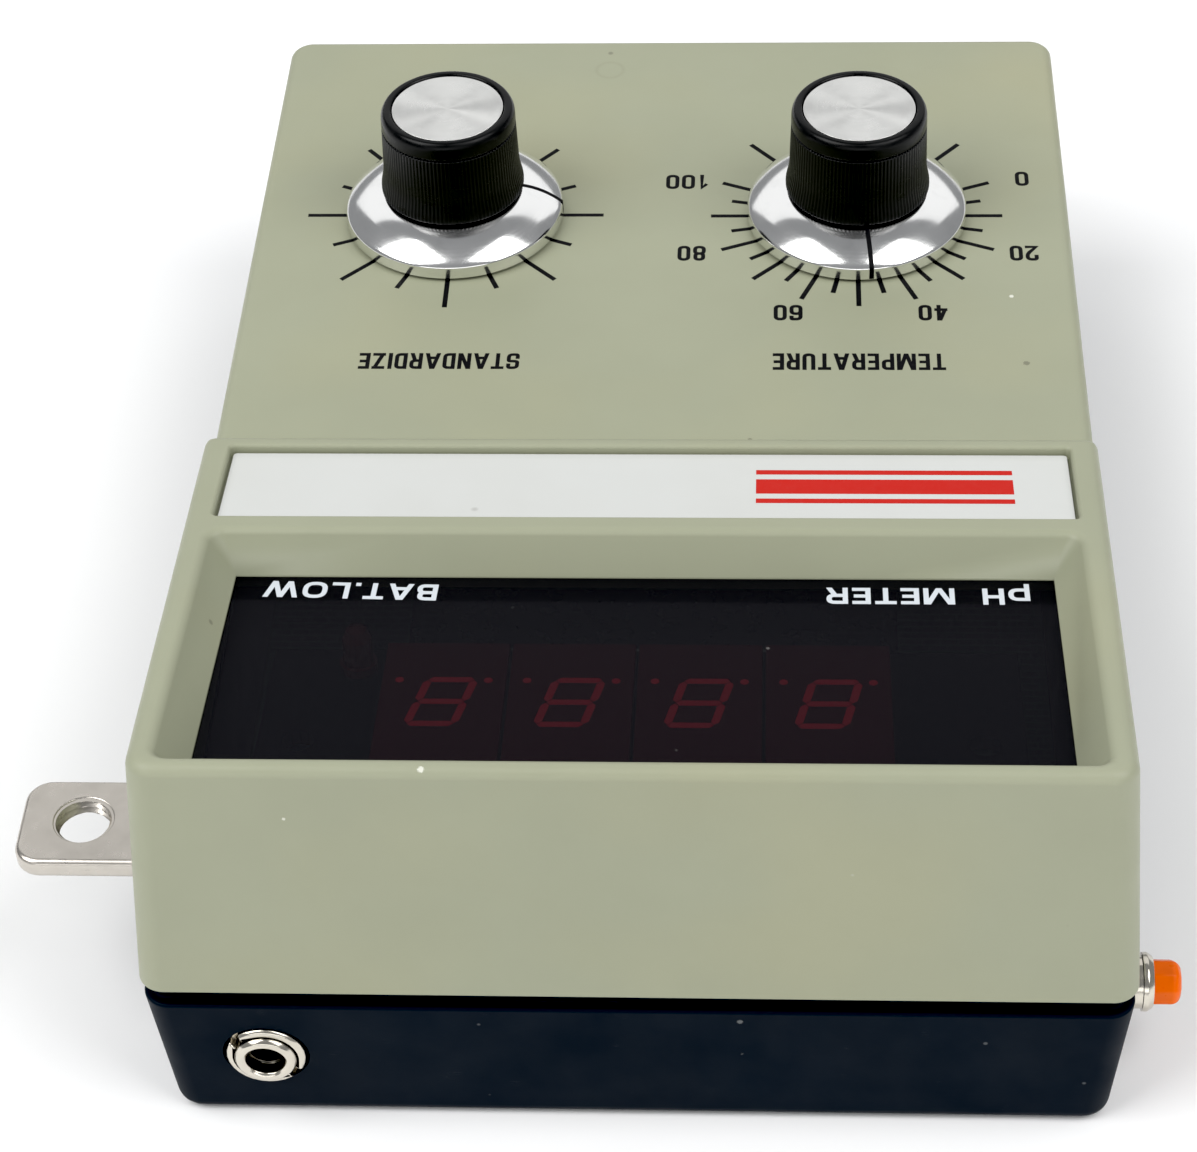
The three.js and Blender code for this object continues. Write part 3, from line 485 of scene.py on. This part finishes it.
def applied(made):
    """Turns an object's modifiers into its mesh."""
    graph = bpy.context.evaluated_depsgraph_get()
    mesh = bpy.data.meshes.new_from_object(made.evaluated_get(graph))
    made.modifiers.clear()
    old, made.data = made.data, mesh
    bpy.data.meshes.remove(old)
    return made


def filleted(profile, radius=0.1, steps=4, closed=False):
    """Rounds the corners of a profile. A point may state its own radius as a third number."""
    count = len(profile)
    smoothed = []
    for i, point in enumerate(profile):
        here = Vector(point[:2])
        reach = point[2] if len(point) > 2 else radius
        if reach <= 0 or (not closed and i in (0, count - 1)):
            smoothed.append(tuple(here))
            continue
        before, after = Vector(profile[i - 1][:2]) - here, Vector(profile[(i + 1) % count][:2]) - here
        reach = min(reach, before.length * 0.48, after.length * 0.48)
        start, end = here + before.normalized() * reach, here + after.normalized() * reach
        for step in range(steps + 1):
            t = step / steps
            curve = start * (1 - t) ** 2 + here * 2 * t * (1 - t) + end * t**2
            smoothed.append(tuple(curve))
    return smoothed


def turned(profile, steps=96, closed=False, shape=None):
    """Points and faces of a profile turned about Z. shape may change the radius round the axis."""
    points, rows = [], []
    for r, z in profile:
        if r < 1e-6:
            rows.append([len(points)] * steps)
            points.append((0, 0, z))
            continue
        rows.append(list(range(len(points), len(points) + steps)))
        for k in range(steps):
            angle = 2 * math.pi * k / steps
            reach = shape(r, z, angle) if shape else r
            points.append((reach * math.cos(angle), reach * math.sin(angle), z))
    faces = []
    pairs = list(zip(rows, rows[1:])) + ([(rows[-1], rows[0])] if closed else [])
    for low, high in pairs:
        for k in range(steps):
            n = (k + 1) % steps
            corners = (low[k], low[n], high[n], high[k])
            face = tuple(dict.fromkeys(corners))
            if len(face) > 2:
                faces.append(face)
    return points, faces


def placed(solid, matrix):
    points, faces = solid
    return [matrix @ Vector(p) for p in points], faces


def lathe_piece(name, solids, matrix, body, slot, replaces, look=None, origin=(0, 0, 0)):
    """A turned piece. origin is where its own axis stands, for finishes that run round the axis."""
    mesh = joined(name, [placed(solid, matrix) for solid in solids])
    made = bpy.data.objects.new(name, mesh)
    bpy.context.scene.collection.objects.link(made)
    mesh.materials.append((look or LOOKS[slot]).material)
    made.location = Vector(origin) * MM
    outward(mesh)
    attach(made, body)
    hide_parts(*replaces)
    return made


def outward(mesh):
    """Turns every closed shell of a mesh so that its faces look outwards."""
    work = bmesh.new()
    work.from_mesh(mesh)
    bmesh.ops.recalc_face_normals(work, faces=work.faces)
    work.to_mesh(mesh)
    work.free()


def prism(outline, low, high):
    """A flat shape raised between two heights. The outline runs anticlockwise."""
    count = len(outline)
    points = [(x, y, low) for x, y in outline] + [(x, y, high) for x, y in outline]
    faces = [tuple(reversed(range(count))), tuple(range(count, 2 * count))]
    for i in range(count):
        n = (i + 1) % count
        faces.append((i, n, count + n, count + i))
    return points, faces


def bar(x0, x1, y0, y1, low, high, lean=0.0):
    """A straight mark. lean shifts its upper end sideways."""
    return prism([(x0, y0), (x1, y0), (x1 + lean, y1), (x0 + lean, y1)], low, high)


# ---------------------------------------------------------------- case


def level(edge, height):
    """Whether an edge lies flat at a height."""
    return all(abs(vert.co.z / MM - height) < 0.03 for vert in edge.verts)


def upper_radius(middle, edge):
    """Edge rounding of the lid, as a share of 1.3 mm."""
    local = BEZEL_FRAME.inverted() @ middle
    on_face = abs(local.z) < 0.02
    inside_rim = abs(local.x) < RIM["half_x"] + 0.4 and RIM["s0"] - 0.4 < local.y < RIM["s1"] + 0.4
    inside_label = abs(local.x) < LABEL["half_x"] + 0.2 and LABEL["s0"] - 0.2 < local.y < LABEL["s1"] + 0.2
    if on_face and local.y > -0.1:
        return 0.5 if inside_rim else 0.3 if inside_label else 0.92
    if abs(middle.y - BEZEL["y"]) < 0.05 and level(edge, PANEL_Z):
        return 0.35
    outside = abs(middle.x) > HALF_W - 3.5 or abs(middle.y) > HALF_L - 4.5
    if level(edge, PANEL_Z):
        return 0.92 if outside else 0.12
    if abs(middle.y - BEZEL["y"]) < 0.05 and middle.z > PANEL_Z:
        return 0.8
    if level(edge, SEAM_Z) and (abs(middle.x) > HALF_W - 0.7 or abs(middle.y) > HALF_L - 0.7):
        return 0.16
    return 0.0


def lower_radius(middle, edge):
    """Edge rounding of the base, as a share of 1.6 mm."""
    outside = abs(middle.x) > HALF_W - 2.2 or abs(middle.y) > HALF_L - 2.0
    if level(edge, 0):
        return 1.0 if outside else 0.12
    if level(edge, 17.3) and outside:
        return 0.2
    if level(edge, SEAM_Z - 0.1):
        return 0.08
    return 0.0


def build_case():
    upper_cuts = [(0, x) for x in (0.0, DIALS["standardize"][0], DIALS["temperature"][0])]
    softened("upper_shell", "case", upper_radius, 1.3, 5, upper_cuts)
    lower_cuts = [(0, x) for x in (0.0, JACK.x, SOCKET.x, -40.6, 40.6, -20.0, 20.0)]
    softened("lower_shell", "case", lower_radius, 1.6, 5, lower_cuts + [(1, BUTTON.y)])
    softened("label_strip", "case", lambda m, e: 1.0, 0.08, 2)
    softened("display_window", "case", lambda m, e: 1.0, 0.12, 2)
    softened("battery_door", "battery_cover", lambda m, e: 1.0, 0.12, 2)
    for i in range(1, 5):
        softened(f"case_screw_{i}", "case", lambda m, e: 1.0, 0.08, 2)


# ---------------------------------------------------------------- display


def digit_marks(middle):
    """The seven bars and two points of one digit, in the bezel frame."""
    half_h, half_w, stroke = DIGIT["height"] / 2, DIGIT["width"] / 2, 0.78
    low, high = DIGIT["face"] - 0.2, DIGIT["face"] + 0.02
    slope = math.tan(math.radians(DIGIT["slant"]))

    def lean(outline):
        return [(middle + x + y * slope, DIGIT["s"] + y) for x, y in outline]

    def across(y):
        a, b = half_w - 0.12, stroke / 2
        return lean([(-a + b, y - b), (a - b, y - b), (a, y), (a - b, y + b), (-a + b, y + b), (-a, y)])

    def upright(x, y0, y1):
        b = stroke / 2
        return lean([(x, y0), (x + b, y0 + b), (x + b, y1 - b), (x, y1), (x - b, y1 - b), (x - b, y0 + b)])

    bars = [across(y) for y in (-half_h + stroke / 2, 0, half_h - stroke / 2)]
    for side in (-1, 1):
        x = side * (half_w - 0.1)
        bars.append(upright(x, -half_h + 0.5, -0.12))
        bars.append(upright(x, 0.12, half_h - 0.5))
    for side in (-1, 1):
        ring = [(4.25 * side + 0.42 * math.cos(a), -half_h + 0.45 + 0.42 * math.sin(a))
                for a in [2 * math.pi * k / 16 for k in range(16)]]
        bars.append([(middle + x, DIGIT["s"] + y) for x, y in ring])
    return [prism(outline, low, high) for outline in bars]


def build_display():
    for i in range(4):
        name = f"digit_{i + 1}"
        softened(name, "case", lambda m, e: 1.0, 0.15, 2)
        middle = DIGIT["x"] + (1.5 - i) * DIGIT["pitch"]
        bars = [placed(solid, BEZEL_FRAME) for solid in digit_marks(middle)]
        mesh = joined(name + "_segments", bars)
        outward(mesh)
        piece(name + "_segments", mesh, "case", "led_module", look=SEGMENT)


# ---------------------------------------------------------------- printed marks


# Plain block letters, drawn as strokes in a box one unit wide and high. Each letter has a width,
# and strokes of three kinds: a path whose corners may be rounded, a path closed by "loop", and a
# slant, which is four numbers and has level ends
GLYPHS = {
    " ": (0.9, []),
    ".": (0.32, [[(0, 0), (0, 0.01)]]),
    "0": (1.0, [[(0, 0, 0.6), (1, 0, 0.6), (1, 1, 0.6), (0, 1, 0.6), "loop"]]),
    "1": (0.78, [[(0.05, 0.76), (0.62, 1), (0.62, 0)]]),
    "2": (1.0, [[(0, 0.74), (0, 1, 0.5), (1, 1, 0.5), (1, 0.56, 0.3), (0, 0), (1, 0)]]),
    "4": (1.0, [[(0.74, 0), (0.74, 1)], [(0, 0.26), (1, 0.26)], (0.02, 0.26, 0.66, 1)]),
    "6": (1.0, [[(0, 0, 0.5), (1, 0, 0.5), (1, 0.58, 0.5), (0, 0.58, 0.5), "loop"],
                [(0, 0.3), (0, 1, 0.5), (1, 1, 0.5), (1, 0.84)]]),
    "8": (1.0, [[(0, 0, 0.5), (1, 0, 0.5), (1, 0.52, 0.4), (0, 0.52, 0.4), "loop"],
                [(0.06, 0.52, 0.4), (0.94, 0.52, 0.4), (0.94, 1, 0.5), (0.06, 1, 0.5), "loop"]]),
    "A": (1.2, [(0, 0, 0.46, 1), (1, 0, 0.54, 1), [(0.36, 0.26), (0.64, 0.26)]]),
    "B": (1.0, [[(0, 0), (1, 0, 0.4), (1, 0.52, 0.4), (0, 0.52), "loop"],
                [(0, 0.52), (0.93, 0.52, 0.4), (0.93, 1, 0.4), (0, 1), "loop"]]),
    "D": (0.98, [[(0, 0), (1, 0, 0.55), (1, 1, 0.55), (0, 1), "loop"]]),
    "E": (0.86, [[(1, 0), (0, 0), (0, 1), (1, 1)], [(0, 0.51), (0.88, 0.51)]]),
    "H": (1.0, [[(0, 0), (0, 1)], [(1, 0), (1, 1)], [(0, 0.51), (1, 0.51)]]),
    "I": (0.36, [[(0, 0), (0, 1)]]),
    "L": (0.88, [[(0, 1), (0, 0), (1, 0)]]),
    "M": (1.45, [[(0, 0), (0, 1)], [(1, 0), (1, 1)], (0.5, 0.0, 0.06, 1), (0.5, 0.0, 0.94, 1)]),
    "N": (1.03, [[(0, 0), (0, 1)], [(1, 0), (1, 1)], (0.96, 0, 0.04, 1)]),
    "O": (1.2, [[(0, 0, 0.5), (1, 0, 0.5), (1, 1, 0.5), (0, 1, 0.5), "loop"]]),
    "P": (0.95, [[(0, 0), (0, 1)], [(0, 0.43), (1, 0.43, 0.45), (1, 1, 0.45), (0, 1), "loop"]]),
    "R": (1.0, [[(0, 0), (0, 1)], [(0, 0.47), (1, 0.47, 0.4), (1, 1, 0.4), (0, 1), "loop"], (1, 0, 0.6, 0.5)]),
    "S": (1.0, [[(0, 0.22), (0, 0, 0.5), (1, 0, 0.5), (1, 0.5, 0.35), (0.5, 0.5), (0, 0.52, 0.35), (0, 1, 0.5),
                 (1, 1, 0.5), (1, 0.78)]]),
    "T": (1.0, [[(0, 1), (1, 1)], [(0.5, 0), (0.5, 1)]]),
    "U": (0.98, [[(0, 1), (0, 0, 0.5), (1, 0, 0.5), (1, 1)]]),
    "W": (1.7, [(0.24, 0, 0, 1), (0.24, 0, 0.5, 1), (0.76, 0, 0.5, 1), (0.76, 0, 1, 1)]),
    "Z": (1.0, [[(0, 0), (1, 0)], [(0, 1), (1, 1)], (0.03, 0, 0.97, 1)]),
    "p": (1.0, [[(0, -0.36), (0, 0.7)], [(0, -0.02), (1, -0.02, 0.4), (1, 0.7, 0.4), (0, 0.7), "loop"]]),
}
LETTER_GAP = 0.2


def ribbon(path, width, closed, high):
    """A flat stroke of even width along a path, as a closed solid that stands on zero."""
    points, faces = [], []
    count = len(path)
    for i, here in enumerate(path):
        before = (here - path[i - 1]).normalized() if i or closed else None
        after = (path[(i + 1) % count] - here).normalized() if i < count - 1 or closed else None
        before, after = before or after, after or before
        way = (before + after).normalized()
        side = Vector((-way.y, way.x)) * width / 2 / max(way.dot(after), 0.6)
        for z in (0, high):
            for edge in (here + side, here - side):
                points.append((edge.x, edge.y, z))
    for i in range(count if closed else count - 1):
        a, b = 4 * i, 4 * ((i + 1) % count)
        faces += [(a + 1, a, b, b + 1), (a + 2, a + 3, b + 3, b + 2)]
        faces += [(a, a + 2, b + 2, b), (a + 3, a + 1, b + 1, b + 3)]
    if not closed:
        last = 4 * (count - 1)
        faces += [(0, 1, 3, 2), (last + 1, last, last + 2, last + 3)]
    return points, faces


def stroke_solid(stroke, x, width, height, weight, high):
    """One stroke of a letter whose box starts at x."""
    if isinstance(stroke, tuple):
        x0, y0, x1, y1 = stroke
        inner = width - weight
        run, rise = (x1 - x0) * inner, (y1 - y0) * height
        half = weight * math.hypot(run, rise) / abs(rise) / 2
        low, top = x + weight / 2 + x0 * inner, x + weight / 2 + x1 * inner
        ends = [(low - half, y0 * height), (low + half, y0 * height), (top + half, y1 * height),
                (top - half, y1 * height)]
        return prism(ends, 0, high)
    closed = stroke[-1] == "loop"
    corners = []
    for px, py, *rounding in (point for point in stroke if point != "loop"):
        place = (x + weight / 2 + px * (width - weight), weight / 2 + py * (height - weight))
        corners.append((*place, rounding[0] * width if rounding else 0))
    path = [Vector(point) for point in filleted(corners, 0, 5, closed)]
    path = [point for i, point in enumerate(path) if i == 0 or (point - path[i - 1]).length > 1e-4]
    if not closed:
        path[0] += (path[0] - path[1]).normalized() * weight / 2
        path[-1] += (path[-1] - path[-2]).normalized() * weight / 2
    return ribbon(path, weight, closed, high)


def lettering(text, height, width, weight):
    """Centred capitals of a given height, overall width and stroke width, one unit thick."""
    units = sum(GLYPHS[letter][0] for letter in text) + LETTER_GAP * (len(text) - 1)
    unit = width / units
    points, faces = [], []
    x = -width / 2
    high = 1.0
    for letter in text:
        share, strokes = GLYPHS[letter]
        for stroke in strokes:
            more, more_faces = stroke_solid(stroke, x, share * unit, height, weight, high)
            start = len(points)
            points += [(p[0], p[1] - height / 2, p[2]) for p in more]
            faces += [tuple(start + i for i in face) for face in more_faces]
            high += 0.03
        x += (share + LETTER_GAP) * unit
    return points, faces


def print_marks(name, solids, look, slot):
    mesh = joined(name, solids)
    outward(mesh)
    return piece(name, mesh, "case", slot, look=look)


INK_THICK = 0.025


def on_panel(solid, x=0.0, y=0.0, turn=0.0):
    """Lays flat marks of unit height on the control panel."""
    lay = Matrix.Translation(Vector((x, y, PANEL_Z - 0.01)))
    return placed(solid, lay @ Matrix.Rotation(turn, 4, "Z") @ Matrix.Diagonal((1, 1, INK_THICK, 1)))


def tick(dial, angle, inner, outer, width):
    """A radial mark. The angle is in degrees from +Y towards +X."""
    x, y, _ = DIALS[dial]
    return on_panel(bar(-width / 2, width / 2, inner, outer, 0, 1), x, y, -math.radians(angle))


def dial_number(text, x, y):
    return on_panel(lettering(text, 2.7, 1.62 * len(text) - 0.1, 0.45), x, y)


def build_marks():
    marks = []
    for step in range(-5, 6):
        angle = 22.5 * step
        marks.append(tick("standardize", angle, 11.4, 16.8 if step % 2 == 0 else 14.5, 0.55))
    for angle in (-139, 139):
        marks.append(tick("standardize", angle, 11.4, 16.8, 0.55))
    marks.append(on_panel(lettering("STANDARDIZE", 2.65, 17.3, 0.43), 23.15, -6.22))
    print_marks("standardize_scale", marks, BLACK_INK, "black_plastic")

    marks = []
    for degrees in range(0, 101, 5):
        angle = (degrees - 50) * 2.25
        outer = 16.35 if degrees % 10 == 0 else 14.3
        marks.append(tick("temperature", angle, 11.4, outer, 0.55))
    for angle in (-139, 139):
        marks.append(tick("temperature", angle, 11.4, 18.2, 0.55))
    x, y, _ = DIALS["temperature"]
    places = {"0": (18.9, -7.0), "20": (18.4, 6.9), "40": (8.0, 17.5), "60": (-7.7, 17.5),
              "80": (-18.4, 6.9), "100": (-19.2, -6.5)}
    for text, (side, up) in places.items():
        marks.append(dial_number(text, x - side, y + up))
    marks.append(on_panel(lettering("TEMPERATURE", 2.75, 18.4, 0.44), -21.85, -6.2))
    print_marks("temperature_scale", marks, BLACK_INK, "black_plastic")

    words = []
    on_window = (("pH METER", -27.65, 22.1, 19.55, 0), ("BAT.LOW", 28.35, 21.65, 17.0, -1.7))
    for text, x, s, width, tilt in on_window:
        lay = BEZEL_FRAME @ Matrix.Translation(Vector((x, s, WINDOW_TOP - 0.01)))
        lay = lay @ Matrix.Rotation(math.radians(tilt), 4, "Z") @ Matrix.Diagonal((1, 1, INK_THICK, 1))
        words.append(placed(lettering(text, 2.7, width, 0.5), lay))
    print_marks("window_words", words, WHITE_INK, "label_film")

    on_label = BEZEL_FRAME @ Matrix.Translation(Vector((0, 0, LABEL["top"] - 0.01)))
    on_label = on_label @ Matrix.Diagonal((1, 1, INK_THICK, 1))
    bands = ((5.3, 6.1), (7.0, 9.6), (10.5, 11.3))
    stripes = [placed(bar(-36.5, -11, s0, s1, 0, 1), on_label) for s0, s1 in bands]
    print_marks("label_stripes", stripes, RED_INK, "label_film")


# ---------------------------------------------------------------- dial knobs

FLUTES = 110
SKIRT_R = 12.25
SKIRT_BOTTOM = 34.9
SKIRT_TOP = 38.75


def fluted(r, z, angle):
    """Flutes round the grip. They run out at the smooth collar and don't touch the bore."""
    if r < 7.2 or z > 47.15 or z < 39.0:
        return r
    return r - 0.065 * (0.5 - 0.5 * math.cos(FLUTES * angle))


def knob_profile():
    rounded = filleted([
        (0, 46.5), (3.15, 46.5), (3.15, 39.4), (4.6, 39.4), (4.6, 37.4), (7.0, 37.4), (7.0, 39.05),
        (7.99, 39.05, 0.12), (8.0, 39.7, 0.3), (7.82, 40.5, 0.5), (7.62, 41.6, 0.6), (7.46, 47.0, 0.05),
        (7.26, 47.1, 0.03), (7.26, 47.25, 0.03), (7.46, 47.36, 0.12), (7.42, 48.7, 0.3),
        (7.05, 49.3, 0.3), (6.4, 49.3, 0.12), (6.25, 49.1, 0.05), (6.25, 48.6, 0.05), (0, 48.6),
    ], 0.08)
    return rounded


def skirt_outside(rows=22):
    """The skirt's outer curve, from the knob out to the rim: it steepens towards the rim."""
    start, end = math.radians(7), math.radians(41)
    inner, outer = 7.3, SKIRT_R - 0.25
    curve, z = [], SKIRT_TOP
    for i in range(rows + 1):
        share = i / rows
        r = inner + (outer - inner) * share
        if i:
            z -= math.tan(start + (end - start) * (share - 0.5 / rows)) * (outer - inner) / rows
        curve.append((r, z))
    return curve


def build_knob(dial):
    x, y, pointer = DIALS[dial]
    body = f"{dial}_knob"
    centre = (x, y, 0)
    grip = turned(knob_profile(), FLUTES * 5, shape=fluted)
    stands_for = (f"{dial}_knob_body",)
    lathe_piece(f"{dial}_grip", [grip], Matrix(), body, "black_plastic", stands_for, origin=centre)

    curve = skirt_outside()
    rim_z = curve[-1][1]
    underside = [(r - 0.05, z - 0.6) for r, z in curve[:-3]]
    outline = curve + filleted([curve[-1], (SKIRT_R, rim_z - 0.3, 0.3), (SKIRT_R, SKIRT_BOTTOM, 0.08),
                                (SKIRT_R - 0.7, SKIRT_BOTTOM, 0.08), (SKIRT_R - 0.75, rim_z - 0.6)])[1:]
    skirt = turned(outline + underside[::-1], 160, closed=True)
    stands_for = (f"{dial}_knob_skirt",)
    lathe_piece(f"{dial}_skirt", [skirt], Matrix(), body, "spun_aluminium", stands_for, origin=centre)

    disc_outline = [(0, 48.65), (6.16, 48.65), (6.16, 49.15, 0.1), (5.4, 49.1, 0.3), (0, 49.06)]
    disc = turned(filleted(disc_outline), 128)
    stands_for = (f"{dial}_knob_inlay",)
    lathe_piece(f"{dial}_inlay", [disc], Matrix(), body, "spun_aluminium", stands_for, INLAY, centre)

    line = pointer_line(curve, rim_z)
    mesh = joined(f"{dial}_pointer", [placed(line, Matrix.Rotation(-math.radians(pointer), 4, "Z"))])
    outward(mesh)
    made = bpy.data.objects.new(f"{dial}_pointer", mesh)
    bpy.context.scene.collection.objects.link(made)
    mesh.materials.append(BLACK_INK.material)
    made.location = Vector(centre) * MM
    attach(made, body)


def pointer_line(curve, rim_z):
    """The filled line down the skirt, along +Y. It follows the skirt's curve and its rim."""
    path = [(r, z) for r, z in curve if r > 7.6] + [(SKIRT_R - 0.06, rim_z - 0.1), (SKIRT_R, rim_z - 0.3),
                                                    (SKIRT_R, SKIRT_BOTTOM + 0.1)]
    points, faces = [], []
    for i, (r, z) in enumerate(path):
        before, after = path[max(i - 1, 0)], path[min(i + 1, len(path) - 1)]
        run = Vector((after[0] - before[0], after[1] - before[1])).normalized()
        out = Vector((-run.y, run.x)) * 0.02
        half = 0.26
        for lift in (out, -out * 4):
            for side in (-half, half):
                points.append((side, r + lift.x, z + lift.y))
    for i in range(len(path) - 1):
        a, b = 4 * i, 4 * i + 4
        faces += [(a, a + 1, b + 1, b), (a + 3, a + 2, b + 2, b + 3)]
        faces += [(a + 2, a, b, b + 2), (a + 1, a + 3, b + 3, b + 1)]
    last = 4 * (len(path) - 1)
    faces += [(0, 2, 3, 1), (last, last + 1, last + 3, last + 2)]
    return points, faces


# ---------------------------------------------------------------- jack, button, socket and tab


def build_jack():
    tube = filleted([
        (1.85, 65.3), (3.0, 65.3), (3.0, 68.95, 0.12), (2.72, 69.36, 0.2), (2.2, 69.4, 0.1),
        (1.9, 69.15, 0.1), (1.9, 67.9, 0.05), (1.75, 67.8, 0.05), (1.85, 67.3, 0.05),
    ], 0.06, closed=True)
    inside = turned(tube, 96, closed=True)
    lathe_piece("recorder_jack_tube", [inside], Matrix.Translation(JACK) @ ALONG_Y, "case", "nickel",
                ("recorder_jack_bushing",))
    softened("recorder_jack_nut", "case", lambda m, e: 1.0, 0.16, 3)


def build_button():
    at_button = Matrix.Translation(BUTTON) @ ALONG_X
    ring = turned(filleted([
        (1.5, -43.1), (2.6, -43.1), (2.6, -48.52), (2.86, -48.5, 0.05), (2.9, -49.0, 0.12),
        (2.5, -49.58, 0.25), (2.36, -49.56, 0.06), (2.36, -47.0), (1.5, -47.0),
    ], 0.05, closed=True), 72, closed=True)
    lathe_piece("read_button_ring", [ring], at_button, "case", "nickel", ("read_button_bushing",))
    softened("read_button_cap", "read_button", lambda m, e: 1.0 if m.x < -51.0 else 0.35, 0.4, 4)
    softened("read_button_nut", "case", lambda m, e: 1.0, 0.14, 3)


def build_socket():
    face, outer = -HALF_L + 0.1, -HALF_L - 11
    barrel = turned(filleted([
        (3.4, face + 8.4), (4.7, face + 8.4), (4.7, face - 0.2), (6.6, face - 0.2, 0.1), (6.6, face - 2, 0.3),
        (4.8, face - 2, 0.2), (4.8, outer + 0.6, 0.1), (4.4, outer, 0.1), (4.1, outer, 0.1), (4.1, face + 1),
        (3.4, face + 1),
    ], 0.06, closed=True), 96, closed=True)
    stud = filleted([(0, 4.0), (0.95, 4.0, 0), (0.95, 5.6, 0.25), (0, 5.6)])
    lugs = [placed(turned(stud, 32), Matrix.Translation(Vector((0, 0, outer + 3.6))) @
                   Matrix.Rotation(side * math.radians(90), 4, "Y")) for side in (-1, 1)]
    at_socket = Matrix.Translation(SOCKET) @ ALONG_Y
    lathe_piece("electrode_socket_shell", [barrel, *lugs], at_socket, "case", "nickel",
                ("electrode_socket_barrel",))
    core = turned(filleted([
        (0.9, face + 9.4), (3.3, face + 9.4), (3.3, face + 0.9), (2.3, face + 0.9), (2.3, outer + 1.4, 0.2),
        (0.9, outer + 1.4, 0.1),
    ], 0.05, closed=True), 64, closed=True)
    lathe_piece("electrode_socket_core", [core], at_socket, "case", "cream_plastic",
                ("electrode_socket_insulator",))


def tab_radius(middle, edge):
    """The tab's long edges are well rounded, and the edge of its hole is only broken."""
    flat = Vector((middle.x - TAB_HOLE.x, middle.y - TAB_HOLE.y)).length
    if flat < 3.1:
        return 0.3
    return 1.0 if middle.x > 36 and flat > 3.4 and abs(middle.x - 38.2) > 2 else 0.0


def build_tab():
    tab_cuts = [(0, TAB_HOLE.x), (1, TAB_HOLE.y), (0, 38.2)]
    softened("support_tab", "case", tab_radius, 0.62, 5, tab_cuts)
    steps, rows = 72, 40
    bottom, top, pitch = 19.8, 21.8, 0.8
    points, faces = [], []
    for row in range(rows + 1):
        z = bottom + (top - bottom) * row / rows
        for k in range(steps):
            angle = 2 * math.pi * k / steps
            phase = (z / pitch - k / steps) % 1.0
            r = 2.96 - 0.42 * (1 - abs(2 * phase - 1))
            points.append((r * math.cos(angle), r * math.sin(angle), z))
    for z, r in ((top, 2.99), (bottom, 2.99)):
        for k in range(steps):
            angle = 2 * math.pi * k / steps
            points.append((r * math.cos(angle), r * math.sin(angle), z))
    order = list(range(rows + 1)) + [rows + 1, rows + 2]
    for low, high in zip(order, order[1:] + order[:1]):
        for k in range(steps):
            n = (k + 1) % steps
            faces.append((low * steps + k, low * steps + n, high * steps + n, high * steps + k))
    thread = placed((points, faces), Matrix.Translation(Vector((TAB_HOLE.x, TAB_HOLE.y, 0))))
    mesh = joined("support_tab_thread", [thread])
    outward(mesh)
    piece("support_tab_thread", mesh, "case", "plated_steel")


# ---------------------------------------------------------------- studio


def add_light(name, azimuth, elevation, distance, width, height, power, target=(0, 0, 30)):
    """A soft panel. The azimuth is from +Y towards +X, as seen from the object."""
    a, e = math.radians(azimuth), math.radians(elevation)
    towards = Vector((math.sin(a) * math.cos(e), math.cos(a) * math.cos(e), math.sin(e)))
    data = bpy.data.lights.new(name, "AREA")
    data.shape = "RECTANGLE"
    data.size, data.size_y = width, height
    data.energy = power
    made = bpy.data.objects.new(name, data)
    made.location = Vector(target) * MM + towards * distance
    made.rotation_euler = towards.to_track_quat("Z", "Y").to_euler()
    bpy.context.scene.collection.objects.link(made)
    return made


def build_studio():
    ground = bpy.data.meshes.new("table")
    size = 3.0
    corners = [(-size, -size, 0), (size, -size, 0), (size, size, 0), (-size, size, 0)]
    ground.from_pydata(corners, [], [(0, 1, 2, 3)])
    table = bpy.data.objects.new("table", ground)
    bpy.context.scene.collection.objects.link(table)
    ground.materials.append(table_top().material)

    world = bpy.data.worlds.new("studio")
    world.use_nodes = True
    world.node_tree.nodes["Background"].inputs["Color"].default_value = (0.95, 0.97, 1.0, 1)
    world.node_tree.nodes["Background"].inputs["Strength"].default_value = 0.30
    bpy.context.scene.world = world

    add_light("overhead_left", 66, 52, 1.1, 0.70, 0.80, 8.9)
    add_light("overhead_right", -66, 52, 1.1, 0.70, 0.80, 7.0)
    add_light("front_fill", 0, 14, 1.3, 1.6, 0.35, 3.2)
    add_light("backdrop", 180, 36, 1.6, 3.0, 1.2, 8.6)


def build_camera():
    """The camera that sees the object as the photographer did: yaw, pitch and roll in degrees."""
    yaw, pitch, roll = math.radians(4.10), math.radians(43.02), math.radians(-2.52)
    ahead = Vector((math.sin(yaw) * math.cos(pitch), -math.cos(yaw) * math.cos(pitch), -math.sin(pitch)))
    right = ahead.cross(Vector((0, 0, 1))).normalized()
    up = right.cross(ahead)
    rolled_right = right * math.cos(roll) + up * math.sin(roll)
    rolled_up = up * math.cos(roll) - right * math.sin(roll)
    data = bpy.data.cameras.new("camera")
    data.sensor_width = 36.0
    data.lens = 96.195
    data.clip_start, data.clip_end = 0.01, 20
    camera = bpy.data.objects.new("camera", data)
    place = Matrix((rolled_right, rolled_up, -ahead)).transposed().to_4x4()
    place.translation = Vector((-12.03, 259.41, 251.51)) * MM
    camera.matrix_world = place
    bpy.context.scene.collection.objects.link(camera)
    bpy.context.scene.camera = camera


build_case()
build_display()
build_marks()
for dial_name in DIALS:
    build_knob(dial_name)
build_jack()
build_button()
build_socket()
build_tab()
build_studio()
build_camera()

settings = bpy.context.scene.view_settings
settings.view_transform = "Standard"
settings.look = "None"
settings.exposure = 0.0
settings.use_curve_mapping = True
settings.curve_mapping.black_level = (0.010, 0.010, 0.010)
settings.curve_mapping.update()
